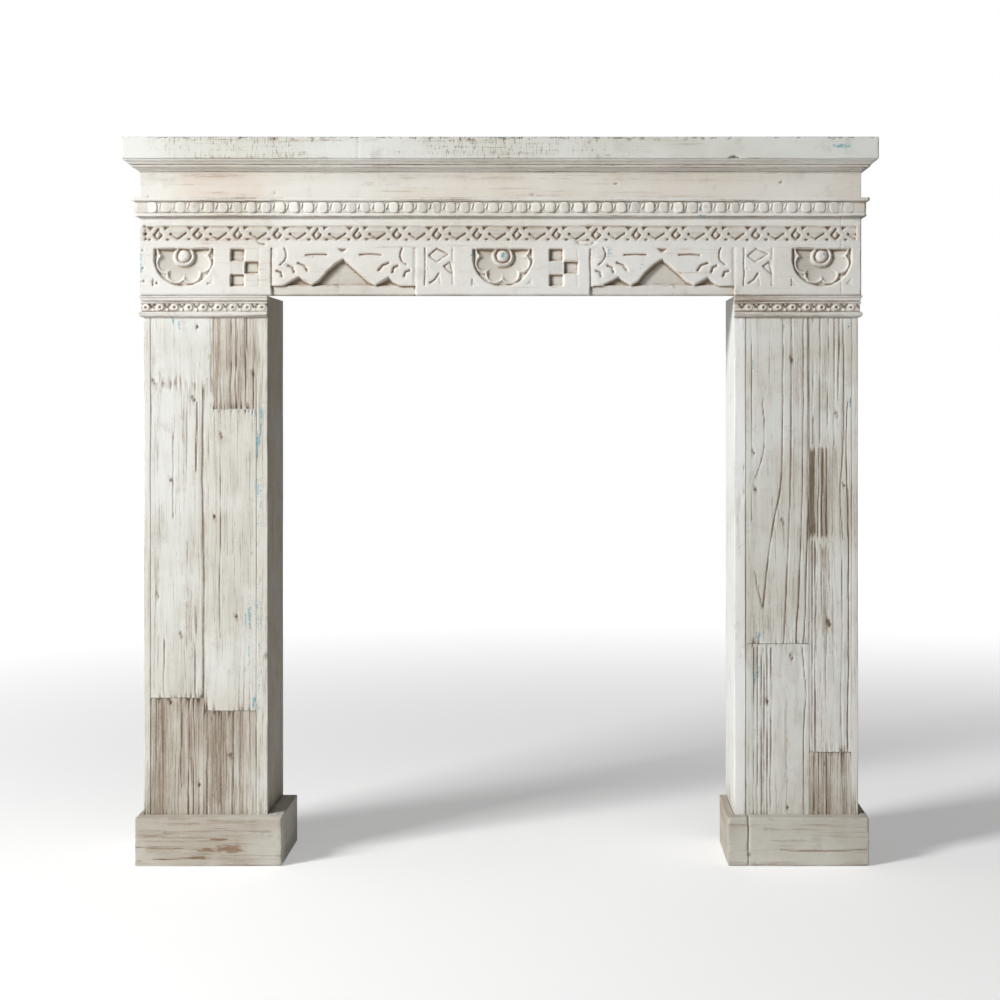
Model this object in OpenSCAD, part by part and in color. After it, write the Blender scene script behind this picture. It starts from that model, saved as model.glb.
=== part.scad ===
// Fireplace mantelpiece in carved, reclaimed boards.
// Origin: on the floor, at the middle of the overall width and depth. +Z up, the front faces -Y.

/* [Overall] */
// Width over the shelf
shelf_w = 1400; // [1100:1:1700]
// Height from the floor to the top of the shelf
height = 1350; // [1100:1:1650]
// Depth from the shelf's front edge to the wall
depth = 230; // [180:1:280]

/* [Shelf] */
// Thickness of the shelf board
shelf_t = 41.5; // [30:0.5:60]
// How far the shelf stands out over the header, at the front and the sides
shelf_over = 28.7; // [27:0.1:40]
// Worn bevel along the lower arris of the shelf
shelf_bevel = 3; // [1:0.5:6]
// Worn bevel along the upper arris of the shelf
shelf_ease = 1.5; // [0.5:0.5:4]

/* [Header] */
// Height of the carved frieze board
frieze_h = 161; // [150:1:220]
// Height of the plain board above it
upper_h = 89.5; // [80:0.5:140]
// Thickness of the frieze board and of the plain board
front_t = 28; // [22:0.5:40]
// Thickness of the boards that close the ends of the header
end_t = 22; // [15:0.5:35]

/* [Bed moulding] */
// Height of the moulding under the shelf
bed_h = 28; // [22:0.5:40]
// How far it stands out at its top
bed_p = 26; // [18:0.5:27]

/* [Bead moulding] */
// Height of the beaded strip
strip_h = 35; // [30:0.5:50]
// How far its top fillet stands out
strip_p = 13.6; // [11:0.1:18]
// How far the strip's lower edge lies below the joint of the two boards
strip_drop = 17.5; // [10:0.5:20]
// Diameter of one bead
bead_d = 20; // [14:0.5:22]
// Distance from bead to bead
bead_pitch = 26.4; // [24:0.1:34]

/* [Carving] */
// Distance after which the carved pattern repeats
repeat_w = 594; // [560:1:640]
// How far the middle rosette stands to the right of the centre
pattern_shift = 4; // [-20:1:20]
// Height of the rosettes' centres above the frieze's lower edge
rosette_z = 71.5; // [65:0.5:76]
// Distance of the petals' centres from the rosette's centre
petal_ring = 36.5; // [30:0.5:40]
// Half width of a petal where it meets the board's face
petal_r = 18.5; // [16:0.5:20]
// Depth of a petal's dish
petal_deep = 9; // [5:0.5:12]
// Radius of the boss in the middle of a rosette
boss_r = 15.6; // [12:0.1:17]
// Top of the carved panels above the frieze's lower edge
panel_top = 85; // [80:0.5:90]
// Height of the plain strip below the carved panels
base_strip = 14.5; // [10:0.5:20]
// How far that strip lies back between the blocks
base_sink = 5; // [3:0.5:8]
// Lower edge of the chip-carved band above the frieze's lower edge
band_z = 99; // [92:0.5:105]
// Height of the chip-carved band
band_h = 28; // [22:0.5:34]
// Depth of the chip-carved band
band_deep = 3; // [1:0.5:6]
// Distance between the band's small diamonds
band_pitch = 74.25; // [60:0.25:90]
// Width of a sunk check
check_w = 26; // [20:0.5:30]
// Height of a sunk check
check_h = 23; // [18:0.5:26]
// Depth of a sunk check
check_deep = 5; // [3:0.5:8]
// Width of the arched valance between two blocks
valance_w = 268.5; // [240:0.5:290]
// Depth of the ground below the valance
valance_deep = 11; // [6:0.5:14]
// Distance from a rosette's centre to the checks on its right
checks_x = 86.7; // [80:0.1:95]
// Distance from a rosette's centre to the diamonds before the next rosette
diamonds_x = 448.7; // [440:0.1:460]

/* [Legs] */
// Width of a leg
leg_w = 232; // [180:1:300]
// How far a leg's outer side lies inside the header's end
leg_in = 4.3; // [0:0.1:12]
// How far a leg's front lies behind the frieze's face
leg_back = 10; // [4:0.5:16]
// Thickness of a leg's outer side board
outer_t = 13; // [10:0.5:30]
// Thickness of a leg's inner side board
inner_t = 22; // [12:0.5:30]
// Thickness of the front planks
plank_t = 22; // [12:0.5:30]
// Width of the left leg's outer plank
left_seam = 99.5; // [70:0.5:130]
// How much wider that plank is above its step
left_step_w = 17; // [8:0.5:30]
// How far the step lies above the inner plank's upper butt joint
left_step_rise = 39; // [20:1:80]
// Height of the outer plank's butt joint
left_outer_joint = 307; // [200:1:400]
// Length of the inner plank's top piece
left_inner_top = 212; // [150:1:300]
// Height of the inner plank's lower butt joint
left_inner_foot = 283; // [200:1:400]
// Width of the right leg's inner plank
right_seam = 118; // [90:0.5:140]
// Height of the inner plank's butt joint
right_inner_joint = 408; // [250:1:600]
// Height of the outer plank's butt joint
right_outer_joint = 206; // [150:1:400]

/* [Capitals] */
// Height of the moulding round the top of a leg
cap_h = 41; // [34:0.5:55]
// How far it stands out
cap_p = 7; // [4:0.5:9]
// Distance from eye to eye
eye_pitch = 27.1; // [22:0.1:34]
// Width of an eye's raised ring
eye_d = 14.5; // [11:0.5:16]
// Width of an eye's hole
eye_hole = 5.5; // [3:0.5:7]
// How far the left leg's first eye keeps clear of the mitre at its outer corner
left_eye_clear = 0.65; // [0.5:0.05:12]
// How far the right leg's first eye keeps clear of the mitre at its outer corner
right_eye_clear = 9.65; // [0.5:0.05:12]

/* [Plinths] */
// Height of a plinth
plinth_h = 91; // [70:1:130]
// Thickness of a plinth's front board
plinth_front_t = 30; // [15:0.5:32]
// How far the left plinth stands out of its leg, away from the opening
left_plinth_out = 10; // [6:0.5:16]
// How far the left plinth stands out of its leg, into the opening
left_plinth_in = 31; // [10:0.5:40]
// How far the right plinth stands out of its leg, away from the opening
right_plinth_out = 16; // [6:0.5:20]
// How far the right plinth stands out of its leg, into the opening
right_plinth_in = 14; // [8:0.5:40]
// Gap between the plinths' side boards and the wall
plinth_wall_gap = 20; // [0:1:40]
// Width of the short end block in the right plinth's front
end_block_w = 38; // [25:0.5:60]
// Worn bevel along a plinth's upper arris
plinth_bevel = 4; // [1:0.5:8]

/* [Hidden] */
$fn = 32;

white = "#dedbd2";
grey = "#b9b5a9";
bare = "#8f8676";

// planes that everything hangs on
wall_y = depth / 2;
shelf_front = -depth / 2;
face_y = shelf_front + shelf_over;
header_half = shelf_w / 2 - shelf_over;
shelf_z = height - shelf_t;
joint_z = shelf_z - upper_h;
frieze_z = joint_z - frieze_h;
strip_z = joint_z - strip_drop;
header_len = wall_y - face_y;
leg_face = face_y + leg_back;
leg_outer = header_half - leg_in;
leg_inner = leg_outer - leg_w;
leg_len = wall_y - leg_face;
leg_h = frieze_z;
plank_left = -leg_outer + outer_t;
plank_right = leg_outer - outer_t;
plank_span = leg_w - outer_t - inner_t;
plinth_face = leg_face - plinth_front_t;
plinth_side_len = leg_len - plinth_wall_gap;
more = 1; // how far a cutter runs past what it cuts

// A box between two X planes, two Y planes and two Z planes
module board(x0, x1, y0, y1, z0, z1) {
    translate([x0, y0, z0]) cube([x1 - x0, y1 - y0, z1 - z0]);
}

// A moulding along +X from 0 to len, with its back on y = 0 and its profile standing out to -Y.
// profile is a list of [stand-out, height]. start and end say whether that end is mitred outwards.
module run(len, profile, start, end) {
    reach = max([for (p = profile) p[0]]);
    top = max([for (p = profile) p[1]]);
    intersection() {
        translate([-reach, 0, 0]) rotate([90, 0, 90]) linear_extrude(len + 2 * reach)
            polygon([for (p = profile) [-p[0], p[1]]]);
        translate([0, 0, -more]) linear_extrude(top + 2 * more)
            polygon([[0, 0], [len, 0], [len + (end ? reach : 0), -reach], [start ? -reach : 0, -reach]]);
    }
}

// Puts a run on the header or a leg: along the front, or along a side to the wall
module on_front(x, y, z) { translate([x, y, z]) children(); }
module on_right(x, y, z) { translate([x, y, z]) rotate([0, 0, 90]) children(); }
module on_left(x, z) { translate([x, wall_y, z]) rotate([0, 0, -90]) children(); }

// ---- shelf ----
module shelf() {
    outline = function(half) [[-half, shelf_bevel], [-half + shelf_bevel, 0], [half - shelf_bevel, 0],
        [half, shelf_bevel], [half, shelf_t - shelf_ease], [half - shelf_ease, shelf_t],
        [-half + shelf_ease, shelf_t], [-half, shelf_t - shelf_ease]];
    side = [[shelf_front, shelf_bevel], [shelf_front + shelf_bevel, 0], [wall_y, 0], [wall_y, shelf_t],
        [shelf_front + shelf_ease, shelf_t], [shelf_front, shelf_t - shelf_ease]];
    color(white) translate([0, 0, shelf_z]) intersection() {
        translate([0, wall_y, 0]) rotate([90, 0, 0]) linear_extrude(depth) polygon(outline(shelf_w / 2));
        translate([-shelf_w / 2, 0, 0]) rotate([90, 0, 90]) linear_extrude(shelf_w) polygon(side);
    }
}

// ---- bed moulding: a small ovolo, a fascia, a bead and a cove ----
function arc(cx, cz, r, from, to, n) =
    [for (i = [0 : n]) let (a = from + (to - from) * i / n) [cx + r * cos(a), cz + r * sin(a)]];
bed_ovolo = 4.5;
bed_fascia = 0.63 * bed_p;
bed_bead = 2.6;
bed_cove = 0.32 * bed_h;
bed_profile = concat(
    [[0, bed_h], [bed_p, bed_h]],
    arc(bed_p - bed_ovolo, bed_h, bed_ovolo, 0, -80, 5),
    [[0.78 * bed_p, bed_h - bed_ovolo - 2], [bed_fascia, 0.57 * bed_h], [bed_fascia - 2.5, 0.54 * bed_h]],
    arc(bed_fascia - 4, 0.45 * bed_h, bed_bead, 60, -60, 5),
    arc(2 + bed_cove, 0.035 * bed_h, bed_cove, 90, 180, 6),
    [[2, 0], [0, 0]]);

module bed_moulding_front() {
    color(white) on_front(-header_half, face_y, shelf_z - bed_h)
        run(2 * header_half, bed_profile, true, true);
}
module bed_moulding_left() {
    color(white) on_left(-header_half, shelf_z - bed_h) run(header_len, bed_profile, false, true);
}
module bed_moulding_right() {
    color(white) on_right(header_half, face_y, shelf_z - bed_h) run(header_len, bed_profile, true, false);
}

// ---- beaded strip: a top fillet, a field with beads and a lower fillet ----
strip_fillet = 6.5;
strip_field_p = 0.6 * strip_p;
strip_low_p = 0.68 * strip_p;
strip_profile = [[0, strip_h], [strip_p, strip_h], [strip_p, strip_h - strip_fillet],
    [strip_field_p, strip_h - strip_fillet - 1.2], [strip_field_p, strip_fillet],
    [strip_low_p, strip_fillet - 1], [strip_low_p - 1.5, 1], [0, 0]];
bead_z = (strip_h - strip_fillet - 1.2 + strip_fillet) / 2;
bead_rise = strip_p - strip_field_p - 0.6;

// One bead: a low dome that stands on the field
module bead() {
    sink = 0.8;
    translate([0, -strip_field_p + sink, bead_z]) rotate([90, 0, 0]) rotate_extrude($fn = 24)
        polygon([[0, 0], [bead_d / 2, 0], [bead_d / 2, sink + 0.3 * bead_rise],
                 [0.42 * bead_d, sink + 0.7 * bead_rise], [0.3 * bead_d, sink + bead_rise],
                 [0, sink + bead_rise]]);
}
module beaded(len, start, end) {
    count = floor(len / bead_pitch);
    first = (len - (count - 1) * bead_pitch) / 2;
    run(len, strip_profile, start, end);
    for (i = [0 : count - 1]) translate([first + i * bead_pitch, 0, 0]) bead();
}
module bead_moulding_front() {
    color(white) on_front(-header_half, face_y, strip_z) beaded(2 * header_half, true, true);
}
module bead_moulding_left() {
    color(white) on_left(-header_half, strip_z) beaded(header_len, false, true);
}
module bead_moulding_right() {
    color(white) on_right(header_half, face_y, strip_z) beaded(header_len, true, false);
}

// ---- header boards ----
module upper_board() {
    color(white) board(-header_half, header_half, face_y, face_y + front_t, joint_z, shelf_z);
}
module header_end(side) {
    x = side * (header_half - end_t / 2);
    color(grey) board(x - end_t / 2, x + end_t / 2, face_y + front_t, wall_y, frieze_z, shelf_z);
}
module header_end_left() { header_end(-1); }
module header_end_right() { header_end(1); }

// ---- carved frieze board ----
// A cutter of the given depth: its outline lies in X and Z, and it is sunk into the board's face
module sunk(deep) {
    translate([0, face_y + deep, frieze_z]) rotate([90, 0, 0]) linear_extrude(deep + more) children();
}
// Dished petals round a boss, cut off by the top of the panel
module rosette() {
    ball_r = (petal_r * petal_r + petal_deep * petal_deep) / (2 * petal_deep);
    groove = 2.2;
    intersection() {
        union() {
            for (a = [0 : 45 : 315])
                translate([petal_ring * cos(a + 22.5), face_y + petal_deep - ball_r,
                           frieze_z + rosette_z + petal_ring * sin(a + 22.5)])
                    sphere(ball_r, $fn = 48);
            translate([0, face_y, frieze_z + rosette_z]) rotate([90, 0, 0]) rotate_extrude($fn = 48)
                polygon([[boss_r - groove, more], [boss_r + groove, more], [boss_r, -2 * groove]]);
        }
        translate([-petal_ring - petal_r, face_y - 4 * petal_deep, frieze_z + base_strip])
            cube([2 * (petal_ring + petal_r), 8 * petal_deep, panel_top - base_strip]);
    }
}
// Checks, sunk in turn in two columns of three
module checks() {
    for (col = [0, 1], row = [0 : 2]) if ((col + row) % 2 == 0)
        translate([col * (check_w + 1), panel_top - (row + 1) * (check_h + 0.5)])
            square([check_w, check_h]);
}
// The ground below the valance's arched lower edge, left of the centre and mirrored to the right
valance_half = valance_w / 2;
valance_left = [[-valance_half, base_strip], [-0.85 * valance_half, base_strip + 0.5],
    [-0.63 * valance_half, base_strip + 17.5], [-0.54 * valance_half, base_strip + 7],
    [-0.44 * valance_half, base_strip + 2.5], [-0.35 * valance_half, base_strip + 9],
    [-0.18 * valance_half, base_strip + 33], [-0.07 * valance_half, base_strip + 48]];
module valance_ground() {
    polygon(concat(valance_left, [[0, base_strip + 50.5]],
        [for (i = [len(valance_left) - 1 : -1 : 0]) [-valance_left[i][0], valance_left[i][1]]]));
}
// Slits, arcs at both ends and a hanging chip, cut in the valance itself
chip_deep = 3;
chip_w = 25;
chip_h = 9;
slit_x = 52; // from the valance's middle to a slit's middle
slit_w = 40;
slit_h = 4.5;
slit_drop = 15; // below the top of the panel
arc_bend = 13; // below the top of the panel, where an arc turns outwards
arc_drop = 29;
module valance_chips() {
    polygon([[-chip_w / 2, panel_top], [chip_w / 2, panel_top], [0, panel_top - chip_h]]);
    for (side = [-1, 1]) {
        translate([side * slit_x - slit_w / 2, panel_top - slit_drop]) square([slit_w, slit_h]);
        polygon([[side * 109, panel_top], [side * 104, panel_top - arc_bend],
            [side * 117, panel_top - arc_drop], [side * 107, panel_top - arc_bend], [side * 113, panel_top]]);
    }
}
// Diamonds cut beside each other, with halves at the panel's edges
diamond_deep = 4;
module diamonds() {
    polygon([[7.8, 71], [23, 84], [44, 74], [22, 60]]);
    polygon([[36, 51.5], [47.5, 59.5], [52, 36.5]]);
    polygon([[3.7, 50], [11, 47], [3.7, 43]]);
    polygon([[27, 38.5], [10, 20.5], [29.5, 17]]);
}
// The band's ground: what is left between small diamonds and V-shaped lozenges
module band_ground(first, count) {
    half = header_half - 9;
    difference() {
        translate([-half, band_z]) square([2 * half, band_h]);
        for (i = [0 : count - 1]) translate([first + i * band_pitch / 2, 0])
            if (i % 2 == 0) translate([0, band_z + 11.5]) polygon([[-8, 0], [0, 10], [8, 0], [0, -9]]);
            else polygon([[-16, band_z + 14], [16, band_z + 14], [0, band_z + 3]]);
    }
}
module frieze_board() {
    copies = ceil(header_half / repeat_w);
    color(white) difference() {
        board(-header_half, header_half, face_y, face_y + front_t, frieze_z, joint_z);
        for (k = [-copies : copies]) translate([pattern_shift + k * repeat_w, 0, 0]) {
            rosette();
            translate([checks_x, 0, 0]) sunk(check_deep) checks();
            translate([repeat_w / 2, 0, 0]) {
                sunk(valance_deep) valance_ground();
                sunk(base_sink) translate([-valance_half, -more]) square([valance_w, base_strip + more]);
                sunk(chip_deep) valance_chips();
            }
            translate([diamonds_x - repeat_w, 0, 0]) sunk(diamond_deep) diamonds();
        }
        sunk(band_deep) band_ground(-floor(header_half / band_pitch) * band_pitch,
                                    4 * floor(header_half / band_pitch) + 1);
    }
}

// ---- legs ----
// side is -1 for the left leg and 1 for the right leg
module outer_side(side) {
    x = side * (leg_outer - outer_t / 2);
    color(grey) board(x - outer_t / 2, x + outer_t / 2, leg_face, wall_y, 0, leg_h);
}
module inner_side(side) {
    x = side * (leg_inner + inner_t / 2);
    color(bare) board(x - inner_t / 2, x + inner_t / 2, leg_face, wall_y, 0, leg_h);
}
module left_outer_side() { outer_side(-1); }
module left_inner_side() { inner_side(-1); }
module right_outer_side() { outer_side(1); }
module right_inner_side() { inner_side(1); }

// A front plank between two X planes, which starts at the height z0 and ends at z1
module plank(x0, x1, z0, z1) { board(x0, x1, leg_face, leg_face + plank_t, z0, z1); }
left_seam_x = plank_left + left_seam;
left_end_x = plank_left + plank_span;
left_inner_joint = leg_h - left_inner_top;
left_step = left_inner_joint + left_step_rise;
module left_front_outer_top() {
    color(white) union() {
        plank(plank_left, left_seam_x, left_outer_joint, leg_h);
        plank(left_seam_x - more, left_seam_x + left_step_w, left_step, leg_h);
    }
}
module left_front_outer_foot() { color(white) plank(plank_left, left_seam_x, 0, left_outer_joint); }
module left_front_inner_top() {
    color(white) union() {
        plank(left_seam_x, left_end_x, left_inner_joint, left_step);
        plank(left_seam_x + left_step_w, left_end_x, left_step - more, leg_h);
    }
}
module left_front_inner_middle() {
    color(bare) plank(left_seam_x, left_end_x, left_inner_foot, left_inner_joint);
}
module left_front_inner_foot() { color(grey) plank(left_seam_x, left_end_x, 0, left_inner_foot); }

right_start_x = plank_right - plank_span;
right_seam_x = right_start_x + right_seam;
module right_front_inner_top() {
    color(white) plank(right_start_x, right_seam_x, right_inner_joint, leg_h);
}
module right_front_inner_foot() { color(grey) plank(right_start_x, right_seam_x, 0, right_inner_joint); }
module right_front_outer_top() {
    color(white) plank(right_seam_x, plank_right, right_outer_joint, leg_h);
}
module right_front_outer_foot() { color(grey) plank(right_seam_x, plank_right, 0, right_outer_joint); }

// ---- capitals: a thin bead, a fascia, a band of eyes and a torus ----
cap_band = 15;
cap_torus = 11;
cap_band_z = cap_torus + 0.5;
cap_field_p = 0.5 * cap_p;
cap_profile = concat(
    [[0, cap_h], [cap_p - 1, cap_h], [cap_p, cap_h - 1], [cap_p, cap_h - 3], [cap_p - 1.5, cap_h - 4],
     [cap_field_p + 0.5, cap_band_z + cap_band + 1.5], [cap_field_p, cap_band_z + cap_band],
     [cap_field_p, cap_band_z]],
    arc(cap_p - cap_torus / 2 + 0.5, cap_torus / 2, cap_torus / 2, 75, -75, 6),
    [[0, 0]]);
// One eye: a raised ring with a drilled hole, let into the field
eye_sink = 0.6;
module eye_ring() {
    rise = cap_p - cap_field_p;
    translate([0, -cap_field_p + eye_sink, cap_band_z + cap_band / 2]) rotate([90, 0, 0])
        rotate_extrude($fn = 24)
            polygon([[0, 0], [eye_d / 2, 0], [eye_d / 2, eye_sink + 0.4 * rise],
                     [0.38 * eye_d, eye_sink + 0.95 * rise], [eye_hole / 2, eye_sink + 0.95 * rise],
                     [eye_hole / 2, eye_sink], [0, eye_sink]]);
}
// A capital's piece has its eyes counted from the end that is mitred, at the leg's outer corner
module capital(len, at_start, clear) {
    first = eye_d / 2 - (cap_field_p - eye_sink) + clear;
    count = floor((len - first - eye_d / 2) / eye_pitch) + 1;
    run(len, cap_profile, at_start, !at_start);
    for (i = [0 : count - 1])
        translate([at_start ? first + i * eye_pitch : len - first - i * eye_pitch, 0, 0]) eye_ring();
}
module left_capital_front() {
    color(white) on_front(-leg_outer, leg_face, leg_h - cap_h) capital(leg_w, true, left_eye_clear);
}
module left_capital_return() {
    color(white) on_left(-leg_outer, leg_h - cap_h) capital(leg_len, false, left_eye_clear);
}
module right_capital_front() {
    color(white) on_front(leg_inner, leg_face, leg_h - cap_h) capital(leg_w, false, right_eye_clear);
}
module right_capital_return() {
    color(white) on_right(leg_outer, leg_face, leg_h - cap_h) capital(leg_len, true, right_eye_clear);
}

// ---- plinths ----
// A board whose upper arris is worn on the side that faces out: a run without mitres
module worn_board(len, thick) {
    run(len, [[0, 0], [thick, 0], [thick, plinth_h - plinth_bevel], [thick - plinth_bevel, plinth_h],
              [0, plinth_h]], false, false);
}
module left_plinth_front() {
    color(white) on_front(-leg_outer - left_plinth_out, leg_face, 0)
        worn_board(leg_w + left_plinth_out + left_plinth_in, plinth_front_t);
}
module left_plinth_outer() {
    color(white) translate([-leg_outer, leg_face + plinth_side_len, 0]) rotate([0, 0, -90])
        worn_board(plinth_side_len, left_plinth_out);
}
module left_plinth_inner() {
    color(bare) on_right(-leg_inner, leg_face, 0) worn_board(plinth_side_len, left_plinth_in);
}
module right_plinth_end_block() {
    color(white) on_front(leg_inner - right_plinth_in, leg_face, 0) worn_board(end_block_w, plinth_front_t);
}
module right_plinth_front() {
    color(white) on_front(leg_inner - right_plinth_in + end_block_w, leg_face, 0)
        worn_board(leg_w + right_plinth_in + right_plinth_out - end_block_w, plinth_front_t);
}
module right_plinth_outer() {
    color(white) on_right(leg_outer, leg_face, 0) worn_board(plinth_side_len, right_plinth_out);
}
module right_plinth_inner() {
    color(white) translate([leg_inner, leg_face + plinth_side_len, 0]) rotate([0, 0, -90])
        worn_board(plinth_side_len, right_plinth_in);
}

shelf();
bed_moulding_front();
bed_moulding_left();
bed_moulding_right();
upper_board();
bead_moulding_front();
bead_moulding_left();
bead_moulding_right();
frieze_board();
header_end_left();
header_end_right();
left_outer_side();
left_inner_side();
left_front_outer_top();
left_front_outer_foot();
left_front_inner_top();
left_front_inner_middle();
left_front_inner_foot();
left_capital_front();
left_capital_return();
left_plinth_front();
left_plinth_outer();
left_plinth_inner();
right_outer_side();
right_inner_side();
right_front_inner_top();
right_front_inner_foot();
right_front_outer_top();
right_front_outer_foot();
right_capital_front();
right_capital_return();
right_plinth_front();
right_plinth_end_block();
right_plinth_outer();
right_plinth_inner();
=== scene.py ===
import math
import bpy
import numpy as np
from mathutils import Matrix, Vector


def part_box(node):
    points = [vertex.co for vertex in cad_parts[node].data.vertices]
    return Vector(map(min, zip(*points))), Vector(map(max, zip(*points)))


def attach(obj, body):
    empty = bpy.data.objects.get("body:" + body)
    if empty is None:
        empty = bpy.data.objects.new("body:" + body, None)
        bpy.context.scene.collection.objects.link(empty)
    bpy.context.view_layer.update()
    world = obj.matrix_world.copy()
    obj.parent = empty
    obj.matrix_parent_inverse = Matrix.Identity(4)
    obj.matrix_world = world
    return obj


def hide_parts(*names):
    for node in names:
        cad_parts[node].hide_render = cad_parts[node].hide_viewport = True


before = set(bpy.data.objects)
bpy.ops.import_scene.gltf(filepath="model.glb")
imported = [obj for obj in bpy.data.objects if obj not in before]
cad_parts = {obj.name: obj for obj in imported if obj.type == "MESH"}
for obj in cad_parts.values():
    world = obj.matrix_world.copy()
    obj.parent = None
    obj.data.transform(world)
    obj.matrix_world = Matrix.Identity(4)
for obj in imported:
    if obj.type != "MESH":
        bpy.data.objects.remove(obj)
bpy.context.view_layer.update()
mm = 0.001

# ---- Shelf ----
# One thick old board, sawn square, whitewashed over a teal paint. Its arrises are knocked and worn
# through to the teal and the brown wood, and short saw nicks run down its front edge.


def hashed(cell, seed):
    """A repeatable number from -1 to 1 for each whole-numbered cell."""
    mixed = cell[..., 0] * 374761393 + cell[..., 1] * 668265263 + cell[..., 2] * 1442695041 + seed * 974634777
    mixed = ((mixed & 0xFFFFFFFF) ^ ((mixed >> 13) & 0x7FFFF)) * 1274126177 & 0xFFFFFFFF
    return ((mixed ^ (mixed >> 16)) & 0xFFFF) / 32767.5 - 1.0


def noise(points, size, seed, octaves=1):
    """Smooth noise from about -1 to 1 at points in mm, with patches of the given size along X, Y and Z."""
    spot = points / np.array(size, float)
    total, weight, weights = 0.0, 1.0, 0.0
    for octave in range(octaves):
        cell = np.floor(spot).astype(np.int64)
        part = spot - cell
        part = part * part * (3 - 2 * part)
        value = 0.0
        for corner in range(8):
            step = np.array([corner & 1, corner >> 1 & 1, corner >> 2 & 1])
            share = np.prod(np.where(step, part, 1 - part), axis=-1)
            value = value + share * hashed(cell + step, seed + 31 * octave)
        total = total + weight * value
        weights += weight
        weight *= 0.5
        spot = spot * 2.03
    return total / weights


def box_of(node):
    """The low and high corners of a piece's place, in mm."""
    return [np.array(corner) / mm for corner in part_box(node)]


def rise(value, low, high):
    """0 below low, 1 above high and a smooth slope between them."""
    t = np.clip((value - low) / (high - low), 0, 1)
    return t * t * (3 - 2 * t)


def hump(away, reach, aside=0.0, spread=1.0):
    """1 at the middle of a mark, falling smoothly to about a third at reach from it, or at spread aside."""
    return np.exp(-(away / reach) ** 2 - (aside / spread) ** 2)


def stations(low, high, pitch):
    """Places along an edge: evenly spaced, and closer together near both ends, where the arris is rubbed."""
    near = np.array([0.5, 1.3, 2.6])
    count = max(2, round((high - low - 2 * near[-1]) / pitch) + 1)
    inner = np.linspace(low + near[-1], high - near[-1], count)
    return np.concatenate([[low], low + near[:-1], inner, (high - near[:-1])[::-1], [high]])


def lattice(xs, ys, zs):
    """The outer points of a block of cells, and the quads between them, facing outwards."""
    outer = np.zeros((len(xs), len(ys), len(zs)), bool)
    outer[[0, -1]] = outer[:, [0, -1]] = outer[:, :, [0, -1]] = True
    ids = np.zeros(outer.shape, np.int64)
    ids[outer] = np.arange(outer.sum())
    i, j, k = np.nonzero(outer)
    quads = []
    for axis in range(3):
        for end in (0, -1):
            side = np.take(ids, end, axis)
            a, b, c, d = side[:-1, :-1], side[1:, :-1], side[1:, 1:], side[:-1, 1:]
            turned = (end == -1) == (axis == 1)
            quads.append(np.stack([a, d, c, b] if turned else [a, b, c, d], -1).reshape(-1, 4))
    return np.column_stack([xs[i], ys[j], zs[k]]), np.vstack(quads)


def solid(name, points, faces, material, **fields):
    """A closed mesh from points in mm and arrays of faces. Each field has one value per point, or is 0."""
    points = np.asarray(points, float)
    volume = 0.0
    for face in faces:
        fan = points[face]
        for i in range(1, face.shape[1] - 1):
            volume += np.einsum("ij,ij->", fan[:, 0], np.cross(fan[:, i], fan[:, i + 1]))
    if volume < 0:
        faces = [face[:, ::-1] for face in faces]
    mesh = bpy.data.meshes.new(name)
    corners = np.concatenate([face.ravel() for face in faces])
    sizes = np.concatenate([np.full(len(f), len(f[0])) for f in faces])
    mesh.vertices.add(len(points))
    mesh.vertices.foreach_set("co", (points * mm).ravel())
    mesh.loops.add(len(corners))
    mesh.loops.foreach_set("vertex_index", corners.astype(np.int32))
    mesh.polygons.add(len(sizes))
    starts = np.concatenate([[0], np.cumsum(sizes)[:-1]])
    mesh.polygons.foreach_set("loop_start", starts.astype(np.int32))
    mesh.update(calc_edges=True)
    mesh.validate()
    mesh.polygons.foreach_set("use_smooth", sizes < 5)
    for field in ("cavity", "worn", "teal", "bare", "bend", "film_and_shade"):
        values = np.clip(np.zeros(len(points)) + np.ravel(fields.get(field, 0)), -1, 1)
        mesh.attributes.new(field, "FLOAT", "POINT").data.foreach_set("value", values.astype(np.float32))
    mesh.materials.append(material)
    piece = bpy.data.objects.new(name, mesh)
    bpy.context.scene.collection.objects.link(piece)
    return piece


def stands_for(piece, node):
    """Fixes a finished piece to the body, in place of its plain solid."""
    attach(piece, "root")
    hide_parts(node)
    return piece


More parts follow.
